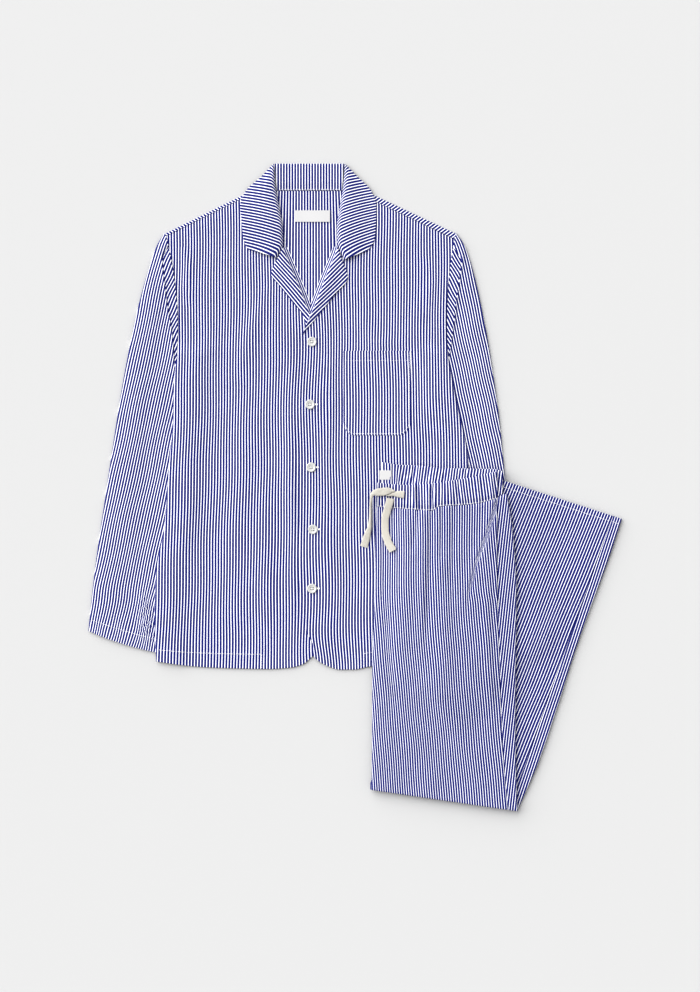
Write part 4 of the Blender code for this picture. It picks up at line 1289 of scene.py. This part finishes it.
def capsule(line, direction, radius):
    """One stitch, a six-sided thread with narrow ends."""
    side = np.array([direction[1], -direction[0], 0.0])
    up = np.array([0.0, 0.0, 1.0])
    rings = []
    for point, scale in zip(line, STITCH_TAPER):
        for turn in np.linspace(0.0, math.tau, 7)[:-1]:
            rings.append(point + radius * scale * (side * math.cos(turn) + up * math.sin(turn)))
    points = np.array(rings)
    return Part(points, np.concatenate([quads(closed_loops(6, 6)), STITCH_CAPS]), points[:, :2], 0.0)


def on_front(side, xs, ys, extra=0.0):
    """A line on a front, given in the shirt's frame, the hem's curve added."""
    xs, ys = mesh_values(xs, ys)
    z = front_height(side, xs, ys)[0] + extra
    return points_of(*on_set(xs, ys + hem_rise(side, xs, ys)), z)


def on_pocket(xs, ys):
    """A line on the pocket, a little sunk into it."""
    xs, ys = mesh_values(xs, ys)
    return points_of(*on_set(xs, ys), pocket_height(xs, ys) - 0.2)


def pocket_stitches():
    """The row around the pocket's edge and the one along its hem."""
    low, high = POCKET_Y[0] + POCKET_SEAM, POCKET_Y[1]
    left, right = POCKET_X[0] + POCKET_SEAM, POCKET_X[1] - POCKET_SEAM
    turn = POCKET_CORNER - POCKET_SEAM
    angle = np.linspace(0.0, math.pi / 2.0, 14)
    across, up = turn * (1 - np.cos(angle)), turn * (1 - np.sin(angle))
    xs = np.concatenate([np.full(20, left), left + 0.75 * across, np.linspace(left + turn, right - turn, 30),
                         right - up, np.full(20, right)])
    ys = np.concatenate([np.linspace(high, low + turn, 20), low + up, np.full(30, low), low + across,
                         np.linspace(low + turn, high, 20)])
    t = np.linspace(0.0, 1.0, 40)
    hem = on_pocket(left + (right - left) * t, POCKET_Y[1] - POCKET_HEM)
    return stitches(on_pocket(xs, ys)) + stitches(hem)


def button_stitches(number, place):
    """The bar of a buttonhole beside its button, none at the first, and the thread in the four holes."""
    parts = []
    if number:
        for k in range(BAR_ROWS):
            xs = place.x + np.array(BAR_ENDS)
            line = on_front("left", xs, place.y + BAR_LOW + k * BAR_STEP, -0.05)
            parts += stitches(line, length=5.0, gap=0.1, radius=0.2, lift=0.08)
    dish = np.full(2, button_base(place) + BUTTON_DISH)
    for dx in (-HOLE_OFFSET, HOLE_OFFSET):
        for apart in (-THREAD_APART, THREAD_APART):
            xs = np.array([place.x + dx + apart, place.x - dx + apart])
            ys = np.array([place.y - HOLE_OFFSET, place.y + HOLE_OFFSET])
            line = points_of(*on_set(xs, ys), dish)
            parts += stitches(line, length=4.0, gap=0.05, radius=0.2, lift=0.1)
    return parts


def shirt_stitches():
    """Every row of stitches that shows on the shirt."""
    parts = []
    for side in SIDES:
        parts += stitches(on_front(side, np.linspace(*HEM_STITCH_X[side], 160), HEM_STITCH))
    for side in SIDES:
        parts += stitches(on_front(side, FACING_STITCH_X[side], np.linspace(1.0, HEM_STITCH, 20)))
    parts += pocket_stitches()
    xs, ys = np.linspace(-47.0, 49.0, 60), np.full(60, NECK_Y + 2.0)
    parts += stitches(points_of(*on_set(xs, ys), collar_back_level(xs, ys)))
    for side in SIDES:
        x, y, top, _, _, _ = sleeve_grid(side)
        row = int(np.argmin(np.abs(y[:, 0] - (SLEEVES[side][-1].outer_y + CUFF_STITCH))))
        parts += stitches(points_of(*on_set(x[row], y[row]), top[row])[5:-8])
    for number, place in enumerate(BUTTONS):
        parts += button_stitches(number, place)
    return parts


def trouser_stitches():
    """The row along the waist seam and the one along the hem of the lower leg."""
    parts = []
    xs = np.linspace(BAND_X["front"][0] + 3.0, BAND_X["front"][1] - 2.0, 400)
    share = np.full(xs.shape, 1.3 / BAND_HEIGHT)
    ys = band_place(BAND_TOP["front"], BAND_FOOT["front"], xs, share)
    level = band_surface("front", xs, ys, share)[0] + 0.1
    parts += stitches(points_of(xs, ys, level))
    for panel in ("front", "back"):
        x, y, top, _, _ = leg_grid("lower", panel, LEG_ROWS, LEG_COLUMNS[panel])
        row = int(np.argmin(np.abs(y[:, 3] - (y[-1, 3] - 9.0))))
        parts += stitches(points_of(x[row], y[row], top[row])[3:-3])
    return parts


# ---------------------------------------------------------------------- looks
COLOURS = {
    "stripe": (0.002, 0.009, 0.172, 1.0),
    "ground": (0.97, 0.97, 0.98, 1.0),
    "thread": (0.95, 0.94, 0.93, 1.0),
    "tape": (0.60, 0.575, 0.52, 1.0),
    "button": (0.54, 0.54, 0.53, 1.0),
    "label": (0.57, 0.565, 0.57, 1.0),
    "floor": (0.544, 0.544, 0.544, 1.0),
}
FLOOR_HALF = 6.0
FLOOR_Z = -0.0004
WINDOW_WAY = (1.0, -0.9, -0.75)
VIEW_MIDDLE = (-0.0082, -0.0132)
VIEW_LENS = 85.0
STRIPE_SOFTNESS = 0.035
DYE_SCALE = 38.0
DYE_RANGE = (0.93, 1.05)
THREAD_PAINTED_SHADE = 0.02
TAPE_RIB = 0.002
TAPE_WAVE = 7000.0
TAPE_PAINTED_SHADE = 0.90


def group_node(tree, kind, place, **values):
    """A new node at its place, with its values set."""
    node = tree.nodes.new(kind)
    node.location = place
    for name, value in values.items():
        setattr(node, name, value)
    return node


def maths(tree, operation, place, first, second=None):
    """The result of a maths node; its inputs are numbers or the results of other nodes."""
    node = group_node(tree, "ShaderNodeMath", place, operation=operation)
    for socket, value in zip(node.inputs, (first, second)):
        if isinstance(value, (int, float)):
            socket.default_value = value
        elif value is not None:
            tree.links.new(value, socket)
    return node.outputs[0]


def ranged(tree, place, value, limits, **values):
    """The result of a map range node, with the named limits set."""
    node = group_node(tree, "ShaderNodeMapRange", place, **values)
    tree.links.new(value, node.inputs["Value"])
    for name, limit in limits.items():
        node.inputs[name].default_value = limit
    return node.outputs["Result"]


def open_group(name, inputs, outputs):
    """A shader group with its sockets and end nodes, and the coordinates of the flat cut."""
    tree = bpy.data.node_groups.new(name, "ShaderNodeTree")
    for way, sockets in (("INPUT", inputs), ("OUTPUT", outputs)):
        for socket, kind in sockets:
            tree.interface.new_socket(name=socket, in_out=way, socket_type=f"NodeSocket{kind}")
    source = group_node(tree, "NodeGroupInput", (-1200, 0))
    result = group_node(tree, "NodeGroupOutput", (900, 0))
    cut = group_node(tree, "ShaderNodeUVMap", (-1200, -300), uv_map="Cut")
    split = group_node(tree, "ShaderNodeSeparateXYZ", (-1000, -300))
    tree.links.new(cut.outputs["UV"], split.inputs[0])
    return tree, source.outputs, result.inputs, cut.outputs["UV"], split.outputs


def tinted(tree, place, colour, shade):
    """A colour made lighter or darker."""
    node = group_node(tree, "ShaderNodeVectorMath", place, operation="SCALE")
    tree.links.new(colour, node.inputs[0])
    tree.links.new(shade, node.inputs["Scale"])
    return node.outputs["Vector"]


@lru_cache(maxsize=None)
def stripe_group():
    """Yarn-dyed stripes with soft edges, woven threads and a slight unevenness of the dye; the threads'
    relief is also painted into the colour as highlight and shade.
    """
    inputs = (("Stripe", "Color"), ("Ground", "Color"), ("Pitch", "Float"), ("Share", "Float"),
              ("Thread", "Float"))
    outputs = (("Color", "Color"), ("Height", "Float"))
    tree, source, result, cut, split = open_group("Woven stripe", inputs, outputs)
    link = tree.links.new
    turns = maths(tree, "DIVIDE", (-800, 0), split["X"], source["Pitch"])
    share = maths(tree, "FRACT", (-650, 0), turns)
    from_middle = maths(tree, "ABSOLUTE", (-350, 0), maths(tree, "SUBTRACT", (-500, 0), share, 0.5))
    half = maths(tree, "MULTIPLY", (-500, -150), source["Share"], 0.5)
    inside = maths(tree, "SUBTRACT", (-200, 0), half, from_middle)
    soft_edge = {"From Min": -STRIPE_SOFTNESS, "From Max": STRIPE_SOFTNESS}
    mask = ranged(tree, (-50, 0), inside, soft_edge, interpolation_type="SMOOTHSTEP")
    mix = group_node(tree, "ShaderNodeMix", (150, 100), data_type="RGBA")
    link(mask, mix.inputs["Factor"])
    link(source["Ground"], mix.inputs["A"])
    link(source["Stripe"], mix.inputs["B"])
    yarns = []
    for axis, down in (("X", -400), ("Y", -550)):
        turn = maths(tree, "DIVIDE", (-500, down), split[axis], source["Thread"])
        yarns.append(maths(tree, "SINE", (-350, down), turn))
    woven = maths(tree, "MULTIPLY", (-200, -450), *yarns)
    noise = group_node(tree, "ShaderNodeTexNoise", (-500, -750))
    noise.inputs["Scale"].default_value = DYE_SCALE
    noise.inputs["Detail"].default_value = 4.0
    link(cut, noise.inputs["Vector"])
    dye = ranged(tree, (150, -300), noise.outputs["Fac"], {"To Min": DYE_RANGE[0], "To Max": DYE_RANGE[1]})
    # The colour is lighter on the raised threads and darker between them: painted highlight and shade of the
    # weave's relief, added to the random tone of the dye.
    shade = maths(tree, "ADD", (300, -450), maths(tree, "MULTIPLY", (150, -550), woven, THREAD_PAINTED_SHADE), dye)
    link(tinted(tree, (500, 50), mix.outputs["Result"], shade), result["Color"])
    uneven = maths(tree, "MULTIPLY", (500, -600), noise.outputs["Fac"], 2.2)
    link(maths(tree, "ADD", (650, -500), woven, uneven), result["Height"])
    return tree


def tape_group():
    """A herringbone weave in a narrow white tape, its ribs given as relief and as painted shade in the
    colour.
    """
    outputs = (("Color", "Color"), ("Height", "Float"))
    tree, source, result, _, split = open_group("Herringbone tape", (("Color", "Color"),), outputs)
    zigzag = maths(tree, "PINGPONG", (-600, 100), split["X"], TAPE_RIB)
    total = maths(tree, "ADD", (-450, 0), zigzag, split["Y"])
    wave = maths(tree, "SINE", (-150, 0), maths(tree, "MULTIPLY", (-300, 0), total, TAPE_WAVE))
    # The colour darkens in the troughs of the ribs: painted shade of the weave's relief.
    shade = ranged(tree, (0, 0), wave, {"From Min": -1.0, "To Min": TAPE_PAINTED_SHADE})
    tree.links.new(tinted(tree, (200, 100), source["Color"], shade), result["Color"])
    tree.links.new(wave, result["Height"])
    return tree


def plain_look(name, colour, roughness, **values):
    """A material of one colour, and its shader."""
    material = bpy.data.materials.new(name)
    material.use_nodes = True
    shader = material.node_tree.nodes["Principled BSDF"]
    shader.inputs["Base Color"].default_value = colour
    shader.inputs["Roughness"].default_value = roughness
    for socket, value in values.items():
        shader.inputs[socket.replace("_", " ")].default_value = value
    return material, shader


def bumped(material, shader, group, strength, distance, **values):
    """Gives a material the colour and the relief of a shader group, with the group's own values."""
    tree = material.node_tree
    node = group_node(tree, "ShaderNodeGroup", (-500, 200), node_tree=group)
    bump = group_node(tree, "ShaderNodeBump", (-250, -200))
    bump.inputs["Strength"].default_value = strength
    bump.inputs["Distance"].default_value = distance
    tree.links.new(node.outputs["Height"], bump.inputs["Height"])
    tree.links.new(bump.outputs["Normal"], shader.inputs["Normal"])
    tree.links.new(node.outputs["Color"], shader.inputs["Base Color"])
    for socket, value in values.items():
        node.inputs[socket].default_value = value


@lru_cache(maxsize=None)
def look_of(name):
    """The material of that name, made when it is first asked for."""
    if name in ("cotton", "trouser"):
        settings = bpy.context.scene.pyjama_cloth
        share = settings.share if name == "cotton" else settings.trouser_share
        material, shader = plain_look("Striped cotton", COLOURS["stripe"], 0.72, Sheen_Weight=0.05,
                                      Sheen_Roughness=0.4)
        bumped(material, shader, stripe_group(), 0.35, 0.0004, Stripe=COLOURS["stripe"],
               Ground=COLOURS["ground"], Pitch=settings.pitch, Share=share,
               Thread=settings.thread / math.tau)
    elif name == "tape":
        material, shader = plain_look("Cotton tape", COLOURS["tape"], 0.8)
        bumped(material, shader, tape_group(), 0.5, 0.0003, Color=COLOURS["tape"])
    elif name == "thread":
        material, _ = plain_look("White thread", COLOURS["thread"], 0.6, Sheen_Weight=0.3)
    elif name == "label":
        material, _ = plain_look("Label satin", COLOURS["label"], 0.35)
    else:
        material, _ = plain_look("Button", COLOURS["button"], 0.28, Coat_Weight=0.3)
    return material


# ----------------------------------------------------------------- add-on part
class PyjamaCloth(bpy.types.PropertyGroup):
    """Settings of the striped cotton."""
    pitch: bpy.props.FloatProperty(name="Stripe pitch", description="From one blue stripe to the next",
                                   default=STRIPE_PITCH * MM, subtype="DISTANCE", unit="LENGTH")
    share: bpy.props.FloatProperty(name="Stripe share", description="How much of the pitch is blue",
                                   default=0.675, min=0.0, max=1.0, subtype="FACTOR")
    trouser_share: bpy.props.FloatProperty(name="Trouser stripe share",
                                           description="How much of the pitch is blue on the trousers",
                                           default=0.725, min=0.0, max=1.0, subtype="FACTOR")
    thread: bpy.props.FloatProperty(name="Thread", description="From one thread of the weave to the next",
                                    default=0.0008, subtype="DISTANCE", unit="LENGTH")


class PyjamaStage(bpy.types.PropertyGroup):
    """Settings of the light and the view."""
    key: bpy.props.FloatProperty(name="Window light", description="Strength of the light from the left",
                                 default=3.60, min=0.0)
    softness: bpy.props.FloatProperty(name="Softness", description="How wide the window light is",
                                      default=math.radians(80.0), subtype="ANGLE", unit="ROTATION")
    fill: bpy.props.FloatProperty(name="Room light", description="Strength of the even light all round",
                                  default=0.55, min=0.0)
    height: bpy.props.FloatProperty(name="View height", description="How high the view is over the floor",
                                    default=3.63, subtype="DISTANCE", unit="LENGTH")


class PYJAMA_OT_shirt_body(bpy.types.Operator):
    """Build the back, the fronts, the shoulder turns and the facing rolls"""
    bl_idname = "pyjama.shirt_body"
    bl_label = "Shirt body"

    def execute(self, context):
        turns = [add_piece(f"shoulder_turn_{side}", [build_shoulder_turn(side)], "cotton") for side in SIDES]
        lay("shirt_back_cloth", build_back(), ["shirt_back"])
        for side in SIDES:
            roll = add_piece(f"facing_roll_{side}", [build_facing_roll(side)], "cotton")
            lay(f"shirt_front_{side}_cloth", build_front(side),
                [f"shirt_front_{side}"])
        return {"FINISHED"}


class PYJAMA_OT_sleeves(bpy.types.Operator):
    """Build both sleeves"""
    bl_idname = "pyjama.sleeves"
    bl_label = "Sleeves"

    def execute(self, context):
        for side in SIDES:
            part = build_sleeve(side)
            piece = add_piece(f"sleeve_{side}_cloth", [part], "cotton", [f"sleeve_{side}"])
            x, y = sleeve_grid(side)[:2]
        return {"FINISHED"}


class PYJAMA_OT_collar(bpy.types.Operator):
    """Build the collar and the lapels"""
    bl_idname = "pyjama.collar"
    bl_label = "Collar and lapels"

    def execute(self, context):
        lay("collar_back_cloth", build_collar_back(), ["collar_back"])
        for side in SIDES:
            lay(f"collar_leaf_{side}_cloth", build_collar_leaf(side),
                [f"collar_leaf_{side}"])
            lay(f"lapel_{side}_cloth", build_lapel(side), [f"lapel_{side}"])
        return {"FINISHED"}


class PYJAMA_OT_pocket(bpy.types.Operator):
    """Build the chest pocket"""
    bl_idname = "pyjama.pocket"
    bl_label = "Pocket"

    def execute(self, context):
        lay("pocket_cloth", build_pocket(), ["pocket"])
        return {"FINISHED"}


class PYJAMA_OT_buttons(bpy.types.Operator):
    """Build the five buttons"""
    bl_idname = "pyjama.buttons"
    bl_label = "Buttons"

    def execute(self, context):
        for number, place in enumerate(BUTTONS, start=1):
            mesh = build_button()
            mesh.materials.append(look_of("button"))
            piece = bpy.data.objects.new(f"button_{number}_shell", mesh)
            x, y = on_set(place.x, place.y)
            piece.location = (x * MM, y * MM, float(button_base(place)) * MM)
            context.scene.collection.objects.link(piece)
            bored(piece, context)
            enter(piece, [f"button_{number}"])
        return {"FINISHED"}


class PYJAMA_OT_labels(bpy.types.Operator):
    """Build the bare neck and waist labels"""
    bl_idname = "pyjama.labels"
    bl_label = "Labels"

    def execute(self, context):
        x, y = label_grid(NECK_LABEL, 24)
        top = NECK_LABEL_TOP + 0.15 * np.sin(x / 9.0)
        lay("neck_label_satin", shirt_shell(x, y, top, top - LABEL_WALL, x, y),
            ["neck_label"], material="label")
        x, y = label_grid(WAIST_LABEL, 12)
        top = upper_rest().at(x, y) + BAND_WALL + WAIST_LABEL_RISE
        lay("waist_label_satin", shell(x, y, top, top - LABEL_WALL, x, y),
            ["waist_label"], material="label")
        return {"FINISHED"}


class PYJAMA_OT_legs(bpy.types.Operator):
    """Build both folded legs"""
    bl_idname = "pyjama.legs"
    bl_label = "Trouser legs"

    def execute(self, context):
        for leg, name in (("lower", "right"), ("upper", "left")):
            layers = build_hidden_layers(leg)
            hidden = add_piece(f"leg_{leg}_layers_cloth", layers, "trouser", [f"leg_{leg}_layers"])
            declare(layers, layers=len(layers))
            for panel in ("front", "back"):
                lay(f"leg_{name}_{panel}_cloth", build_leg_panel(leg, panel),
                    [f"leg_{name}_{panel}"], material="trouser")
        return {"FINISHED"}


class PYJAMA_OT_waistband(bpy.types.Operator):
    """Build the gathered waistband"""
    bl_idname = "pyjama.waistband"
    bl_label = "Waistband"

    def execute(self, context):
        for which, below in (("back", "shirt_front_left_cloth"), ("front", "waistband_back_cloth")):
            lay(f"waistband_{which}_cloth", build_waistband(which), [f"waistband_{which}"])
        return {"FINISHED"}


class PYJAMA_OT_drawstring(bpy.types.Operator):
    """Build the two free ends of the drawstring"""
    bl_idname = "pyjama.drawstring"
    bl_label = "Drawstring"

    def execute(self, context):
        (stub, stub_path), (turned, turned_path) = build_tape(TAPE_STUB), build_tape(TAPE_RIGHT)
        before = stub_path[stub_path[:, 0] > TAPE_TWIST[1] * MM]
        after = turned_path[turned_path[:, 0] < TAPE_TWIST[0] * MM]
        hanging, hanging_path = build_tape(TAPE_LEFT)
        for side, parts, path in (("right", [stub, turned], np.vstack([before, after])),
                                  ("left", [hanging], hanging_path)):
            piece = add_piece(f"drawstring_{side}_tape", parts, "tape", [f"drawstring_{side}"])
        return {"FINISHED"}


class PYJAMA_OT_stitching(bpy.types.Operator):
    """Sew the visible rows of stitches"""
    bl_idname = "pyjama.stitching"
    bl_label = "Stitching"

    def execute(self, context):
        add_piece("shirt_stitching", shirt_stitches(), "thread")
        add_piece("trouser_stitching", trouser_stitches(), "thread")
        return {"FINISHED"}


class PYJAMA_OT_stage(bpy.types.Operator):
    """Set the floor, the light and the view"""
    bl_idname = "pyjama.stage"
    bl_label = "Stage"

    def execute(self, context):
        scene = context.scene
        settings = scene.pyjama_stage
        mesh = bpy.data.meshes.new("floor")
        corners = ((-1, -1), (1, -1), (1, 1), (-1, 1))
        mesh.from_pydata([(x * FLOOR_HALF, y * FLOOR_HALF, FLOOR_Z) for x, y in corners], [], [(0, 1, 2, 3)])
        floor = bpy.data.objects.new("floor", mesh)
        material, _ = plain_look("Pale floor", COLOURS["floor"], 0.85)
        mesh.materials.append(material)
        scene.collection.objects.link(floor)
        world = bpy.data.worlds.new("Room")
        scene.world = world
        world.use_nodes = True
        back = world.node_tree.nodes["Background"]
        back.inputs["Color"].default_value = (1.0, 1.0, 1.0, 1.0)
        back.inputs["Strength"].default_value = settings.fill
        lamp = bpy.data.lights.new("Window", "SUN")
        lamp.energy = settings.key
        lamp.angle = settings.softness
        light = bpy.data.objects.new("Window", lamp)
        light.rotation_euler = Vector(WINDOW_WAY).to_track_quat("-Z", "Y").to_euler()
        light.location = -Vector(WINDOW_WAY)
        scene.collection.objects.link(light)
        view = bpy.data.cameras.new("Overhead")
        view.lens = VIEW_LENS
        view.sensor_width = 36.0
        view.clip_end = 50.0
        camera = bpy.data.objects.new("Overhead", view)
        camera.location = (*VIEW_MIDDLE, settings.height)
        scene.collection.objects.link(camera)
        scene.camera = camera
        scene.view_settings.view_transform = "Standard"
        scene.view_settings.look = "High Contrast"
        return {"FINISHED"}


class PYJAMA_PT_build(bpy.types.Panel):
    """The steps that build the set"""
    bl_idname = "PYJAMA_PT_build"
    bl_label = "Pyjama set"
    bl_space_type = "VIEW_3D"
    bl_region_type = "UI"
    bl_category = "Pyjama"

    def draw(self, context):
        column = self.layout.column(align=True)
        for operator in STEPS:
            column.operator(operator.bl_idname)
        for group in (context.scene.pyjama_cloth, context.scene.pyjama_stage):
            for name in group.__annotations__:
                column.prop(group, name)


STEPS = (PYJAMA_OT_shirt_body, PYJAMA_OT_sleeves, PYJAMA_OT_collar, PYJAMA_OT_pocket, PYJAMA_OT_buttons,
         PYJAMA_OT_legs, PYJAMA_OT_waistband, PYJAMA_OT_labels, PYJAMA_OT_drawstring, PYJAMA_OT_stitching,
         PYJAMA_OT_stage)
CLASSES = (PyjamaCloth, PyjamaStage) + STEPS + (PYJAMA_PT_build,)


def register():
    """Adds the settings, the steps and the panel."""
    for item in CLASSES:
        bpy.utils.register_class(item)
    bpy.types.Scene.pyjama_cloth = bpy.props.PointerProperty(type=PyjamaCloth)
    bpy.types.Scene.pyjama_stage = bpy.props.PointerProperty(type=PyjamaStage)


def unregister():
    """Takes them away again."""
    del bpy.types.Scene.pyjama_stage
    del bpy.types.Scene.pyjama_cloth
    for item in reversed(CLASSES):
        bpy.utils.unregister_class(item)


def main():
    """Builds the set on its stage."""
    register()
    bpy.ops.pyjama.stage()
    for operator in STEPS[:-1]:
        group, name = operator.bl_idname.split(".")
        getattr(getattr(bpy.ops, group), name)()
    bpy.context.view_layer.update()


if __name__ == "__main__":
    main()
